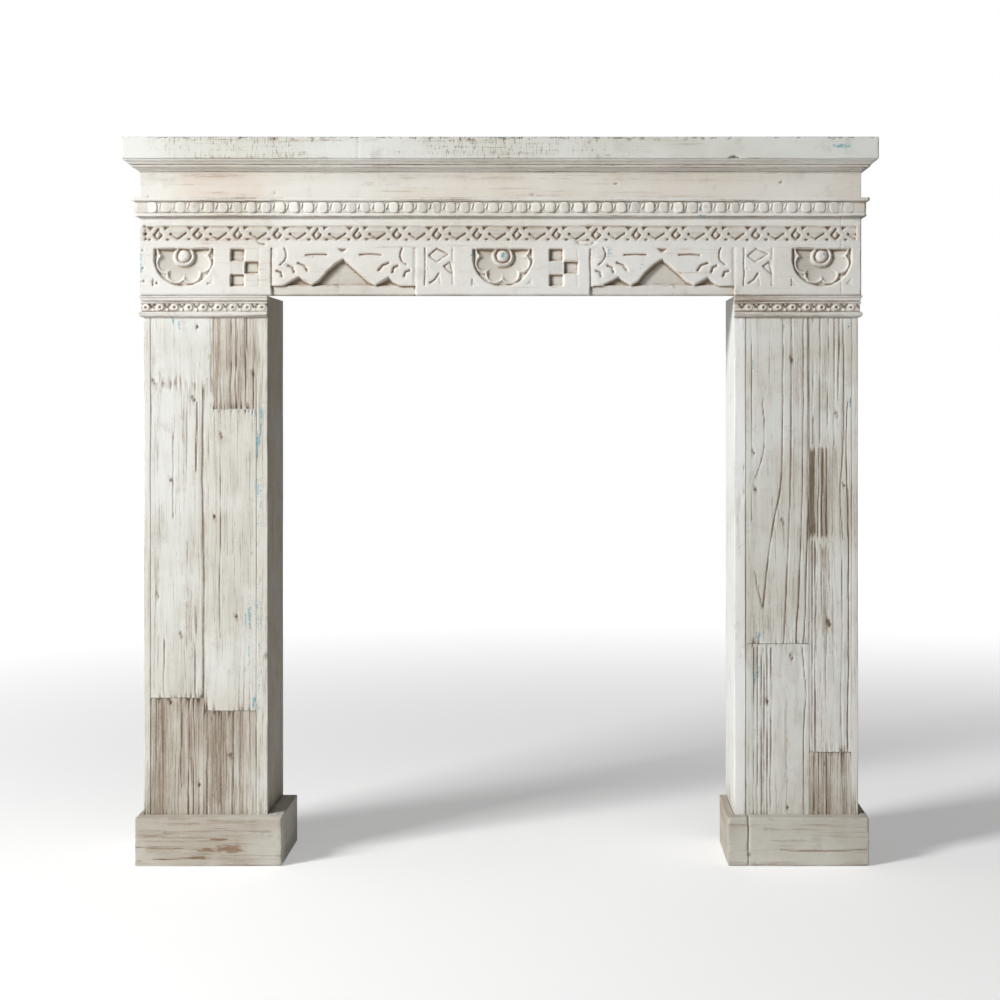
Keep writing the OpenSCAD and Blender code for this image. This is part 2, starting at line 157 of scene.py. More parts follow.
class Wire:
    """One output of a material's node. Arithmetic on it adds Math nodes."""

    def __init__(self, tree, socket):
        self.tree = tree
        self.socket = socket

    def node(self, kind, settings=None, inputs=None, out=0):
        """Adds a node with its settings, then its inputs by name or number, and gives one of its outputs."""
        made = self.tree.nodes.new(kind)
        for key, value in (settings or {}).items():
            setattr(made, key, value)
        for key, value in (inputs or {}).items():
            if isinstance(value, Wire):
                self.tree.links.new(value.socket, made.inputs[key])
            else:
                made.inputs[key].default_value = value
        return Wire(self.tree, made.outputs[out])

    def math(self, operation, other, flip=False):
        first, second = (other, self) if flip else (self, other)
        return self.node("ShaderNodeMath", {"operation": operation}, {0: first, 1: second})

    def vector(self, operation, other):
        return self.node("ShaderNodeVectorMath", {"operation": operation}, {0: self, 1: other})

    def __add__(self, other):
        return self.math("ADD", other)

    def __sub__(self, other):
        return self.math("SUBTRACT", other)

    def __rsub__(self, other):
        return self.math("SUBTRACT", other, flip=True)

    def __mul__(self, other):
        return self.math("MULTIPLY", other)

    __radd__ = __add__
    __rmul__ = __mul__

    def span(self, low, high, to_low=0.0, to_high=1.0):
        """Turns low to high into to_low to to_high, held at both ends."""
        return self.node("ShaderNodeMapRange", {"interpolation_type": "SMOOTHSTEP"},
                         {0: self, 1: low, 2: high, 3: to_low, 4: to_high})

    def between(self, first, second):
        """A mix of two colours by this share: the first at 0 and the second at 1."""
        return self.node("ShaderNodeMix", {"data_type": "RGBA"}, {0: self, 6: first, 7: second}, out=2)

    def tint(self, share, colour):
        """This colour, turned towards another one by a share from 0 to 1."""
        return share.between(self, colour)


def whitewash(name, grain, white, warm, wood, grime_and_shade, dirty=0.0, open_grain=0.5, crossed=0.0):
    """Worn whitewash on old wood. grain is the fibres' axis and dirty is how much of the wood shows through.

    The mesh fields say where: cavity is dirt in cuts, and on the frieze also painted shadow inside the walls
    that face away from the light; worn is paint rubbed thin, teal is older paint that shows, bare is wood
    without paint, film_and_shade is brown film and, on some pieces, painted shade in recesses, under the
    mouldings and on a leg's inner face; and bend is how far the grain is pushed aside, in tenths of a metre.
    crossed is how strong the short upright nicks are, on the left part of a piece."""
    material = bpy.data.materials.new(name)
    material.use_nodes = True
    tree = material.node_tree
    shader = tree.nodes["Principled BSDF"]
    start = Wire(tree, shader.inputs[0])

    def colour(rgb, strength=1.0):
        return tuple(strength * part for part in rgb) + (1.0,)

    def field(which):
        return start.node("ShaderNodeAttribute", {"attribute_name": which}, out="Fac")

    def drawn(at, along, across):
        """Object coordinates squeezed so that noise comes out long in the direction of the grain."""
        scale = [across, across, across]
        scale["XYZ".index(grain)] = along
        return start.node("ShaderNodeMapping", inputs={"Vector": at, "Scale": scale})

    def cloud(at, scale, detail, roughness=0.6):
        return start.node("ShaderNodeTexNoise",
                          inputs={"Vector": at, "Scale": scale, "Detail": detail, "Roughness": roughness})

    place = start.node("ShaderNodeTexCoord", out="Object")
    shift = start.node("ShaderNodeCombineXYZ", inputs={"Z" if grain == "X" else "X": field("bend") * 0.1})
    place = place.vector("ADD", shift)
    streaks = cloud(drawn(place, 1.0, 20), 4.0, 6)
    lines = cloud(drawn(place, 1.3, 60), 5.5, 5, 0.7)
    threads = cloud(drawn(place, 6, 60), 8.0, 4, 0.7)
    patches = cloud(place, 4.0, 4)
    blotches = cloud(place, 24.0, 5, 0.65)
    specks = cloud(place, 210.0, 3, 0.7)
    cavity, worn, teal, bare, film_and_shade = (field(which) for which in ("cavity", "worn", "teal", "bare", "film_and_shade"))

    paint = patches.span(0.38, 0.64).between(colour(white), colour(warm))
    paint = paint.tint(blotches.span(0.54, 0.72) * 0.5, colour(warm, 0.78))
    shown = (lines - 0.5) * 1.9 + (threads - 0.5) * 0.9 + (streaks - 0.5) * 1.2 + (specks - 0.5) * 0.4
    shown = shown + (patches - 0.5) * 0.8 + dirty
    if crossed:
        upright = start.node("ShaderNodeMapping", inputs={"Vector": place, "Scale": (420.0, 40.0, 85.0)})
        ticks = cloud(upright, 1.0, 3, 0.6).span(0.5, 0.72) * patches.span(0.38, 0.58)
        left_side = place.node("ShaderNodeSeparateXYZ", inputs={0: place}).span(0.1, 0.3, crossed, 0.0)
        shown = shown + ticks * left_side
    through = shown + cavity * 0.9
    paint = paint.tint(through.span(0.08, 0.6) * 0.6, colour(wood, 1.45))
    timber = threads.span(0.35, 0.65).between(colour(wood, 0.5), colour(wood))
    rubbed = worn + shown * 0.8
    paint = paint.tint(rubbed.span(0.4, 0.8) * 0.6, timber)
    blue = blotches.span(0.4, 0.6).between(colour((0.07, 0.28, 0.36)), colour((0.25, 0.50, 0.56)))
    old = teal + (specks - 0.5) * 1.4 + (blotches - 0.5) * 1.2 + (lines - 0.5) * 1.2
    paint = paint.tint(old.span(0.5, 0.8) * 0.85, blue)
    stripped = bare + (threads - 0.5) * 1.0 + (blotches - 0.5) * 0.8
    paint = paint.tint(stripped.span(0.3, 0.75), timber)
    # Dark streaks and dirt in the cuts go to the grime colour, which on the frieze also paints shadow inside
    # the walls that face away from the light.
    dark = (through - 0.45) * 0.9 + cavity * 0.35
    paint = paint.tint(dark.span(0.05, 0.75) * 0.92, colour(grime_and_shade))
    # The brown film colour, which also paints shade in the frieze's recesses, in the cove, under the bed
    # moulding and on the left leg's inner face.
    paint = paint.tint(film_and_shade * (blotches * 0.8 + 0.45), colour((0.34, 0.27, 0.19)))
    grey = start.node("ShaderNodeRGBToBW", inputs={0: paint})
    height = threads * 0.5 + blotches * 0.5 + specks * 0.25 - through.span(0.1, 0.8) * 1.4
    bump = start.node("ShaderNodeBump", inputs={"Strength": 0.25 + 0.6 * open_grain, "Distance": 0.0016,
                                                "Height": height})
    tree.links.new(paint.socket, shader.inputs["Base Color"])
    tree.links.new((grey * -0.15 + 0.82).socket, shader.inputs["Roughness"])
    tree.links.new(bump.socket, shader.inputs["Normal"])
    shader.inputs["Specular IOR Level"].default_value = 0.3
    return material


def worked_block(name, node, pitch, material, work, radius=2.0, ragged=1.2, grain=0, dents=0.5, seed=1,
                 depths=None):
    """A board as a closed mesh that stands for its node. Its arrises are rubbed to a radius that varies, and
    its faces are uneven.

    work(points, out, arris) gives the depth of its cuts in mm and the mesh fields."""
    low, high = box_of(node)
    xs, ys, zs = (stations(low[axis], high[axis], pitch[axis]) for axis in range(3))
    points, quads = lattice(xs, ys if depths is None else depths, zs)
    long = np.array([5.0, 5.0, 5.0])
    long[grain] = 60.0
    rub = noise(points, long * 2.4, seed, 3)
    size = np.clip(radius * (1 + ragged * rub), 0.15, 0.45 * (high - low).min())[:, None]
    core = np.clip(points, low + size, high - size)
    out = points - core
    reach = np.linalg.norm(out, axis=1, keepdims=True)
    out /= np.maximum(reach, 1e-9)
    corner_share = 0.41        # how much further a square corner is out than a round one
    arris = np.clip((reach - size) / (corner_share * size), 0, 1)[:, 0]
    swell = noise(points, long * 6, seed + 1, 2)
    fibre = noise(points, long * 0.8, seed + 2, 2)
    sunk = dents * (0.5 + 0.5 * swell) + 0.35 * dents * (0.5 + 0.5 * fibre)
    cuts, fields = work(points, out, arris)
    moved = core + out * np.minimum(size, reach) - out * (sunk + cuts)[:, None]
    return stands_for(solid(name, moved, [quads], material, **{"worn": 0.75 * arris, **fields}), node)


shelf_low, shelf_high = box_of("shelf")
shelf_paint = whitewash("whitewashed_shelf", "X", (0.80, 0.81, 0.76), (0.72, 0.715, 0.65),
                        (0.34, 0.26, 0.19), (0.12, 0.085, 0.06), dirty=-0.11, open_grain=0.5, crossed=0.62)


def shelf_work(points, out, arris):
    """Short upright saw nicks on the front edge, two upright cracks, chips along both arrises and a stain."""
    x, y, z = points.T
    front = np.clip(-out[:, 1], 0, 1)
    ragged = 0.5 + 0.5 * noise(points, (60, 20, 20), 43, 2)
    nicked = rise(noise(points, (120, 50, 50), 41), -0.5, 0.3) * rise(x, -670, -600) * (1 - rise(x, 180, 330))
    nick = rise(noise(points, (2.8, 50, 10), 42), 0.3, 0.7) * nicked
    crack = hump(x + 262, 1.1) + hump(x + 12, 1.0)
    chip = rise(1 - np.hypot((x - 432) / 11, (z - shelf_low[2]) / 7), 0, 0.5)
    sunk = front * (0.35 * nick + 0.8 * crack + 4.0 * chip)
    top = rise(z, shelf_high[2] - 6, shelf_high[2] - 1)
    left_end = rise(-x, shelf_high[0] - 9, shelf_high[0] - 1)
    stain = hump(x - 628, 26, z - 1332, 5)
    low_edge = rise(-z, -shelf_low[2] - 5, -shelf_low[2]) * front
    chipped = rise(noise(points, (8, 20, 4), 44, 2), 0.08, 0.42)
    chipped = chipped * rise(z, shelf_high[2] - 11, shelf_high[2] - 3)
    teal = (0.75 + 0.4 * (x > 0)) * arris * top * ragged + 0.7 * left_end * ragged
    teal = teal + 0.75 * stain * front + 0.3 * chipped * front
    notch = rise(noise(points, (5, 20, 5), 45), 0.5, 0.75) * top * (x < -560)
    sunk = sunk + 1.8 * front * notch + 0.5 * front * chipped
    teal = teal + 0.42 * np.clip(sunk, 0, 1) * ragged * (sunk < 2)
    dirt = 0.42 * sunk + 0.45 * low_edge * ragged + 0.4 * chipped * front
    return sunk, {"cavity": dirt, "teal": teal, "worn": 0.9 * arris * ragged + 0.25 * top * front}


shelf_depths = np.concatenate([stations(shelf_low[1], shelf_low[1] + 40, 2.6)[:-4],
                               np.linspace(shelf_low[1] + 42, shelf_high[1] - 6, 8),
                               [shelf_high[1] - 2, shelf_high[1]]])
worked_block("shelf_board", "shelf", (3.0, 3.0, 2.4), shelf_paint, shelf_work, radius=2.6, ragged=1.0,
             dents=0.45, seed=11, depths=shelf_depths)

# ---- Header boards ----
# A plain pine board nailed under the shelf, and two boards that close the ends of the header box.
# They are whitewashed; brown shows along the grain and in scratches.
header_paint = whitewash("whitewashed_header", "X", (0.80, 0.785, 0.735), (0.76, 0.70, 0.62),
                         (0.36, 0.26, 0.18), (0.14, 0.09, 0.06), dirty=-0.08, open_grain=0.4)
end_paint = whitewash("whitewashed_header_end", "Y", (0.80, 0.775, 0.71), (0.72, 0.68, 0.60),
                      (0.36, 0.26, 0.18), (0.14, 0.09, 0.06), dirty=0.0, open_grain=0.6)
upper_low, upper_high = box_of("upper_board")
strip_lift = 2.6        # how far the bead moulding sits above the boards' joint


def upper_work(points, out, arris):
    """A few nail holes, long scratches along the grain, painted shade mixed with brown wash under the bed
    moulding, and a dark line along the top of the bead strip.
    """
    x, y, z = points.T
    front = np.clip(-out[:, 1], 0, 1)
    holes = 0.0
    for hole_x, hole_z in ((-655, 1241), (-420, 1249), (-170, 1262), (60, 1246), (214, 1266), (522, 1268)):
        holes = holes + np.exp(-((x - hole_x) ** 2 + (z - hole_z) ** 2) / 3.5)
    scratch = rise(noise(points, (70, 40, 1.6), 51), 0.62, 0.85)
    scratch = scratch * rise(noise(points, (260, 40, 60), 52), 0.1, 0.6)
    sunk = front * (3.0 * holes + 0.7 * scratch)
    # Painted shade with some brown wash: darker towards the board's top, under the bed moulding.
    under = rise(z, upper_high[2] - 52, upper_high[2] - 27) * (0.6 + 0.5 * noise(points, (90, 40, 20), 53, 2))
    over = hump(z - upper_low[2] - strip_lift - 18.6, 1.3)
    over = over * (0.7 + 0.5 * noise(points, (60, 40, 60), 54, 2))
    bare = 0.38 * hump(x + 240, 34, z - 1264, 11) * front
    teal = 0.5 * hump(x + 86, 15, z - 1265, 5) * front
    return sunk, {"cavity": 0.4 * sunk + 0.2 * front * under + 0.8 * front * over, "bare": bare, "teal": teal,
                  "film_and_shade": 0.3 * front * under}


def plain_work(points, out, arris):
    """A board with nothing cut in it. Dirt has gathered on it in soft patches."""
    drift = noise(points, (70, 70, 70), 57, 3)
    uncut = np.zeros(len(points))
    return uncut, {"cavity": 0.3 * rise(drift, 0.0, 0.8), "bare": 0.35 * rise(-drift, 0.3, 0.9)}


worked_block("plain_upper_board", "upper_board", (4.2, 6.0, 2.9), header_paint, upper_work, radius=1.2,
             dents=0.35, seed=21)
for side, seed in (("left", 31), ("right", 33)):
    worked_block(f"header_end_board_{side}", f"header_end_{side}", (6.5, 6.5, 5.0), end_paint, plain_work,
                 radius=1.4, grain=1, dents=0.7, seed=seed)

# ---- Bed moulding ----
# A run moulding under the shelf: a small ovolo, a fascia, a bead and a cove, planed from softwood and
# mitred at the corners. Brown wash has settled in its quirks.


def paint_pair(name, *colours, **settings):
    """One whitewash twice: with its grain along X for front pieces, and along Y for side pieces."""
    return (whitewash(name, "X", *colours, **settings),
            whitewash(name + "_side", "Y", *colours, **settings))


moulding_paint, moulding_side_paint = paint_pair(
    "whitewashed_moulding", (0.83, 0.81, 0.76), (0.76, 0.73, 0.66), (0.36, 0.26, 0.18), (0.13, 0.085, 0.06),
    dirty=-0.1, open_grain=0.3)


def bow(stand, height, radius, start, end, count=6):
    """Points of an arc in a profile, as [stand-out, height]."""
    angles = [math.radians(start + (end - start) * i / count) for i in range(count + 1)]
    return [[stand + radius * math.cos(a), height + radius * math.sin(a)] for a in angles]


def filled(profile, gap):
    """A profile with more points along its long straight parts."""
    points = []
    for (p0, h0), (p1, h1) in zip(profile, profile[1:]):
        count = max(1, math.ceil(math.hypot(p1 - p0, h1 - h0) / gap))
        points += [[p0 + (p1 - p0) * i / count, h0 + (h1 - h0) * i / count] for i in range(count)]
    return np.array(points + [profile[-1]])


def profile_normal(profile):
    """The way out of the wood at each point of a profile."""
    slope = np.gradient(profile, axis=0)
    normal = np.column_stack([-slope[:, 1], slope[:, 0]])
    return normal / np.maximum(np.linalg.norm(normal, axis=1, keepdims=True), 1e-9)


def profile_hollow(profile):
    """How hollow a profile is at each point: above 0 in a quirk, below 0 on an arris."""
    before, after = np.roll(profile, 3, axis=0), np.roll(profile, -3, axis=0)
    bend = ((before + after) / 2 - profile) * profile_normal(profile)
    return np.where(profile[:, 0] > 0.2, bend.sum(axis=1) * 0.9, 0)


def moulded_run(name, node, profile, mitres, side, pitch, material, seed, carve, colours, wear=0.35,
                lift=0.0):
    """A length of moulding as a closed mesh that stands for its node.

    profile runs from the top of its back, over its front, to its foot. side is front, left or right. at holds
    each point's place along the run, its stand-out and its height. carve(at) gives depth in mm, and
    colours(at, hollow) gives the mesh fields."""
    low, high = box_of(node)
    low[2] += lift
    reach = profile[:, 0].max()
    across = 0 if side == "front" else 1
    start = low[across] + reach * mitres[0]
    end = high[across] - reach * mitres[1]
    runs = np.linspace(start, end, round((end - start) / pitch) + 1)
    run, stand = np.meshgrid(runs, profile[:, 0], indexing="ij")
    height = np.meshgrid(runs, profile[:, 1], indexing="ij")[1] + low[2]
    ends = 60.0        # the points crowd together over this length at a mitre
    place = run - mitres[0] * stand * np.clip(1 - (run - start) / ends, 0, 1)
    place = place + mitres[1] * stand * np.clip(1 - (end - run) / ends, 0, 1)
    normal = profile_normal(profile)
    grain = np.stack([place, stand, height], -1)
    sunk = wear * (0.5 + 0.5 * noise(grain, (45, 9, 7), seed, 3))
    sunk = sunk + 0.2 * (0.5 + 0.5 * noise(grain, (9, 5, 2.5), seed + 1, 2))
    at = np.stack([run, stand, height - low[2]], -1)
    sunk = sunk + carve(at)
    free = (profile[:, 0] > 0.01) * 1.0
    inside = (profile[:, 1] > 0.5) * (profile[:, 1] < profile[:, 1].max() - 0.5)
    moved_stand = np.clip(stand - sunk * normal[None, :, 0] * free, 0, reach)
    moved_height = height - sunk * normal[None, :, 1] * free * inside
    if side == "front":
        points = np.stack([place, high[1] - moved_stand, moved_height], -1)
    elif side == "left":
        points = np.stack([high[0] - moved_stand, place, moved_height], -1)
    else:
        points = np.stack([low[0] + moved_stand, place, moved_height], -1)
    ids = np.arange(run.size).reshape(run.shape)
    rolled = np.roll(ids, -1, axis=1)
    quads = np.stack([ids[:-1], rolled[:-1], rolled[1:], ids[1:]], -1).reshape(-1, 4)
    caps = [ids[0][::-1][None], ids[-1][None]]
    hollow = np.broadcast_to(profile_hollow(profile), run.shape)
    piece = solid(name, points.reshape(-1, 3), [quads, *caps], material, **colours(at, hollow))
    return stands_for(piece, node)


bed_box = box_of("bed_moulding_front")
bed_h = bed_box[1][2] - bed_box[0][2]
bed_p = bed_box[1][1] - bed_box[0][1]
bed_profile = filled(
    [[0, bed_h], [bed_p - 0.4, bed_h], *bow(bed_p - 4.5, bed_h - 0.2, 4.3, 0, -80),
     [0.80 * bed_p, bed_h - 5.4], [0.775 * bed_p, bed_h - 6.6], [0.785 * bed_p, bed_h - 7.6],
     [0.65 * bed_p, 0.58 * bed_h], [0.60 * bed_p, 0.565 * bed_h], [0.55 * bed_p, 0.535 * bed_h],
     *bow(0.48 * bed_p, 0.45 * bed_h, 2.5, 80, -70), [0.42 * bed_p, 0.36 * bed_h],
     *bow(11.0, 1.9, 8.2, 95, 178), [2.6, 0.8], [0.5, 0], [0, 0]], 1.1)
bed_foot = 7.2        # the moulding's lower edge above its box, behind which the cove runs out
bed_profile[:, 1] = bed_foot + bed_profile[:, 1] * (bed_h - bed_foot) / bed_h


def bed_wear(at):
    """Knocks along the arrises."""
    return 0.8 * rise(noise(at, (16, 60, 9), 61), 0.72, 0.95)


def bed_colours(at, hollow):
    """Brown wash in the quirks, painted shade mixed with brown film in the cove and under the fascia, and
    arrises rubbed thin.
    """
    run, stand, height = np.moveaxis(at, -1, 0)
    drift = 0.75 + 0.4 * noise(at, (140, 60, 60), 62, 3)
    # Painted shade in the cove and under the fascia, where the shelf above shades them, mixed with a brown
    # film.
    cove = rise(-height, -14.5, -bed_foot - 0.5) * (stand > 0.6)
    quirk = sum(much * hump(height - bed_foot - share * (bed_h - bed_foot), 0.75)
                for share, much in ((0.555, 1.0), (0.765, 0.8), (0.35, 0.8), (0.02, 0.9)))
    fascia = hump(height - 0.74 * bed_h, 2.4)
    return {"cavity": np.clip(0.85 * quirk * drift, 0, 1), "worn": np.clip(0.2 - 0.8 * hollow, 0, 1) * 0.4,
            "film_and_shade": np.clip(0.35 * cove + 0.1 * fascia, 0, 1) * drift}


for side, pitch, paint, seed in (("front", 4.2, moulding_paint, 63), ("left", 3.2, moulding_side_paint, 65),
                                 ("right", 3.2, moulding_side_paint, 67)):
    moulded_run(f"cornice_{side}", f"bed_moulding_{side}", bed_profile, (True, side == "front"), side, pitch,
                paint, seed, bed_wear, bed_colours)

# ---- Bead moulding ----
# A strip nailed along the joint of the two header boards: a fillet, a flat field with turned half
# beads glued on it, little slanting darts between them, and a lower fillet. The end beads are rubbed flat.
strip_box = box_of("bead_moulding_front")
strip_h = strip_box[1][2] - strip_box[0][2]
strip_p = strip_box[1][1] - strip_box[0][1]
field_p = 0.6 * strip_p
field_mid = 0.5 * strip_h - 0.6
strip_profile = filled(
    [[0, strip_h], [strip_p - 0.8, strip_h], [strip_p, strip_h - 0.9], [strip_p, strip_h - 5.4],
     [strip_p - 1.0, strip_h - 6.6], [field_p - 1.4, strip_h - 7.6], [field_p - 0.6, strip_h - 9.4],
     [field_p, 0.5 * strip_h], [field_p - 0.4, 8.6], [field_p - 1.5, 7.2], [field_p - 0.9, 6.4],
     [0.58 * strip_p, 5.6], [0.6 * strip_p, 3.4], [0.6 * strip_p, 1.0], [0.54 * strip_p, 0.2], [0, 0]], 2.2)


def strip_carve(at):
    """Worn dips in the top fillet."""
    return 1.6 * rise(noise(at, (26, 90, 90), 71), 0.45, 0.9) * (at[..., 2] > strip_h - 7)


def strip_colours(at, hollow):
    """Brown wash on the field and along its edges, and patches of the older teal paint."""
    run, stand, height = np.moveaxis(at, -1, 0)
    drift = 0.6 + 0.5 * noise(at, (60, 60, 60), 72, 3)
    field = (height > 7) * (height < strip_h - 7) * (stand > 0.2)
    line = hump(height - 6.9, 1.0) + hump(height - (strip_h - 7.6), 1.1)
    patch = rise(noise(at, (42, 90, 14), 73, 2), 0.42, 0.8)
    foot = hump(height - 0.3, 0.9)
    return {"cavity": np.clip(0.22 * field * drift + 0.6 * line * drift + 0.6 * foot, 0, 1),
            "teal": 0.7 * patch * (stand > 0.2), "worn": np.clip(0.25 - 0.8 * hollow, 0, 1) * 0.5,
            "film_and_shade": 0.35 * field * drift}


for side, paint in (("front", moulding_paint), ("left", moulding_side_paint), ("right", moulding_side_paint)):
    moulded_run(f"bead_strip_{side}", f"bead_moulding_{side}", strip_profile, (True, side == "front"), side,
                4.0, paint, 75, strip_carve, strip_colours, 0.4, strip_lift)


def grown(name, material, values, build):
    """Runs a Geometry Nodes tree once and keeps its result as a plain mesh.

    values are the tree's named inputs. build(given) gets them as wires and returns its last geometry wire."""
    tree = bpy.data.node_groups.new(name, "GeometryNodeTree")
    kinds = {float: "NodeSocketFloat", int: "NodeSocketInt", tuple: "NodeSocketVector"}
    made = {label: tree.interface.new_socket(label, in_out="INPUT", socket_type=kinds[type(value)])
            for label, value in values.items()}
    tree.interface.new_socket("Geometry", in_out="OUTPUT", socket_type="NodeSocketGeometry")
    entry, leave = tree.nodes.new("NodeGroupInput"), tree.nodes.new("NodeGroupOutput")
    shape = build({label: Wire(tree, entry.outputs[label]) for label in values})
    coated = shape.node("GeometryNodeSetMaterial", inputs={"Geometry": shape, "Material": material})
    tree.links.new(coated.socket, leave.inputs[0])
    carrier = bpy.data.objects.new(name, bpy.data.meshes.new(name + "_start"))
    bpy.context.scene.collection.objects.link(carrier)
    step = carrier.modifiers.new("pattern", "NODES")
    step.node_group = tree
    for label, value in values.items():
        step[made[label].identifier] = value
    mesh = bpy.data.meshes.new_from_object(carrier.evaluated_get(bpy.context.evaluated_depsgraph_get()))
    bpy.data.objects.remove(carrier)
    mesh.name = name
    piece = bpy.data.objects.new(name, mesh)
    bpy.context.scene.collection.objects.link(piece)
    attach(piece, "root")
    return piece


def bead_row(given):
    """A row of half beads along a line, each a little different, and worn low at both ends of the row.

    Square pushes a bead's corners out, Flat below 1 levels its top and Dirt is how dark it is at its foot."""
    start = given["Count"]
    count = start.math("ROUND", 0.0)
    row = start.node("GeometryNodeMeshLine", {"mode": "OFFSET"},
                     {"Count": count, "Start Location": given["Start"], "Offset": given["Step"]})
    ball = start.node("GeometryNodeMeshUVSphere", inputs={"Segments": 24, "Rings": 14, "Radius": 1.0})
    spot = start.node("GeometryNodeInputPosition")
    parts = spot.node("ShaderNodeSeparateXYZ", inputs={0: spot})
    x, y, up = (Wire(parts.tree, parts.socket.node.outputs[axis]) for axis in range(3))
    radius = (x * x + y * y).math("POWER", 0.5)
    corner = (x * x * x * x + y * y * y * y + 0.000001).math("POWER", 0.25)
    square = radius.math("DIVIDE", corner) * given["Square"] + (1.0 - given["Square"])
    hollow = radius.span(0.0, given["Hole"], 1.0, 0.0) * up.span(0.0, 0.3)
    level = up.math("ABSOLUTE", 0.0).math("POWER", given["Flat"]) * up.math("SIGN", 0.0)
    shaped = spot.node("ShaderNodeCombineXYZ", inputs={"X": x * square, "Y": y * square,
                                                       "Z": level - hollow * given["Hole depth"]})
    ball = ball.node("GeometryNodeSetPosition", inputs={"Geometry": ball, "Position": shaped})
    marks = {"cavity": up.span(0.02, 0.5, 1.0, 0.0) * given["Dirt"] + hollow * given["Hole depth"],
             "worn": up.span(0.6, 1.0, 0.0, 0.3) * (1.0 - hollow)}
    for field, value in marks.items():
        ball = ball.node("GeometryNodeStoreNamedAttribute", {"data_type": "FLOAT", "domain": "POINT"},
                         {"Geometry": ball, "Name": field, "Value": value})
    turn = start.node("FunctionNodeRandomValue", {"data_type": "FLOAT_VECTOR"},
                      {"Min": (-0.10, -0.10, -0.2), "Max": (0.10, 0.10, 0.2), "Seed": 3})
    turned = turn.vector("ADD", given["Turn"])
    spread = start.node("FunctionNodeRandomValue", {"data_type": "FLOAT_VECTOR"},
                        {"Min": (0.92, 0.92, 0.75), "Max": (1.04, 1.04, 1.0), "Seed": 8})
    index = start.node("GeometryNodeInputIndex")
    share = index.math("DIVIDE", given["Count"] - 1.0)
    middle = share.span(0.0, given["Worn start"]) * share.span(1.0 - given["Worn end"], 1.0, 1.0, 0.0)
    flat = start.node("ShaderNodeCombineXYZ", inputs={"X": 1.0, "Y": 1.0, "Z": middle * 0.7 + 0.3})
    sized = spread.vector("MULTIPLY", given["Size"]).vector("MULTIPLY", flat)
    beads = row.node("GeometryNodeInstanceOnPoints",
                     inputs={"Points": row, "Instance": ball, "Rotation": turned, "Scale": sized})
    beads = beads.node("GeometryNodeRealizeInstances", inputs={"Geometry": beads})
    rough = start.node("ShaderNodeTexNoise", inputs={"Scale": 190.0, "Detail": 2.0}, out=1)
    rough = rough.vector("SUBTRACT", (0.5, 0.5, 0.5))
    rough = rough.node("ShaderNodeVectorMath", {"operation": "SCALE"}, {0: rough, "Scale": given["Rough"]})
    beads = beads.node("GeometryNodeSetPosition", inputs={"Geometry": beads, "Offset": rough})
    return beads.node("GeometryNodeSetShadeSmooth", inputs={"Geometry": beads})


def laid(name, material, look, count, size, step, first):
    """Lays a row of beads with a look. size, step and the first bead's place are in mm."""
    vectors = {"Size": size, "Step": step, "Start": first}
    in_metres = {label: tuple(part * mm for part in vector) for label, vector in vectors.items()}
    return grown(name, material, {**look, "Count": float(count), **in_metres}, bead_row)


quarter = math.pi / 2
bead_look = {"Turn": (quarter, 0.0, 0.0), "Square": 0.6, "Flat": 0.5, "Hole": 0.3, "Hole depth": 0.08,
             "Dirt": 0.12, "Worn start": 0.1, "Worn end": 0.07, "Rough": 1.3 * mm}
dart_look = {**bead_look, "Square": 0.0, "Flat": 1.0, "Hole depth": 0.0, "Dirt": 0.32, "Rough": 0.9 * mm}
bead_pitch, bead_wide, bead_tall = 26.4, 19.0, 20.0
bead_size = (bead_wide / 2, bead_tall / 2, 0.19 * strip_p)
bead_z = strip_box[0][2] + strip_lift + field_mid
face_y = strip_box[1][1]
row_len = strip_box[1][0] - strip_box[0][0] - 2 * strip_p
bead_count = int(row_len // bead_pitch)
bead_first = -0.5 * (bead_count - 1) * bead_pitch
laid("beads_front", moulding_paint, bead_look, bead_count, bead_size, (bead_pitch, 0.0, 0.0),
     (bead_first, face_y - field_p, bead_z))
side_len = box_of("bead_moulding_left")[1][1] - face_y
side_count = int(side_len // bead_pitch)
side_first = face_y + 0.5 * (side_len - (side_count - 1) * bead_pitch)
for side, way in (("left", -1), ("right", 1)):
    end_x = box_of(f"bead_moulding_{side}")[0 if way < 0 else 1][0]
    laid(f"beads_{side}", moulding_side_paint,
         {**bead_look, "Turn": (quarter, 0.0, way * quarter)}, side_count, bead_size, (0.0, bead_pitch, 0.0),
         (end_x - way * (strip_p - field_p), side_first, bead_z))
laid("darts_front", moulding_paint, {**dart_look, "Turn": (quarter, 0.35, 0.0)},
     bead_count - 1, (1.5, 6.0, 2.0), (bead_pitch, 0.0, 0.0),
     (bead_first + bead_pitch / 2, face_y - field_p, bead_z + 1.5))

# ---- Carved frieze ----
# One board carved in the round: a chip-carved band over three rosettes, checks, cut diamonds and two
# arched valances. The cuts are softened by layers of whitewash, and brown wash lies in all of them; painted
# shade darkens the deeper hollows, and painted shadow lies inside the walls that face away from the light.
frieze_paint = whitewash("whitewashed_frieze", "X", (0.83, 0.815, 0.77), (0.77, 0.745, 0.68),
                         (0.40, 0.27, 0.19), (0.15, 0.078, 0.048), dirty=-0.12, open_grain=0.3)
frieze_low, frieze_high = box_of("frieze_board")
shift_x, repeat_w = 4.0, 594.0
panel_top, base_top, band_foot, band_top = 85.0, 15.2, 99.0, 127.2
rosette_v, diamond_v, diamond_u, diamond_pitch = 71.5, 110.6, -637.9, 74.25


def nearest(value, pitch):
    """The distance to the nearest of the marks that repeat at a pitch."""
    return np.mod(value + pitch / 2, pitch) - pitch / 2


def deepest(*depths):
    """The deepest of several cuts at each point."""
    return np.maximum.reduce(np.broadcast_arrays(*depths))


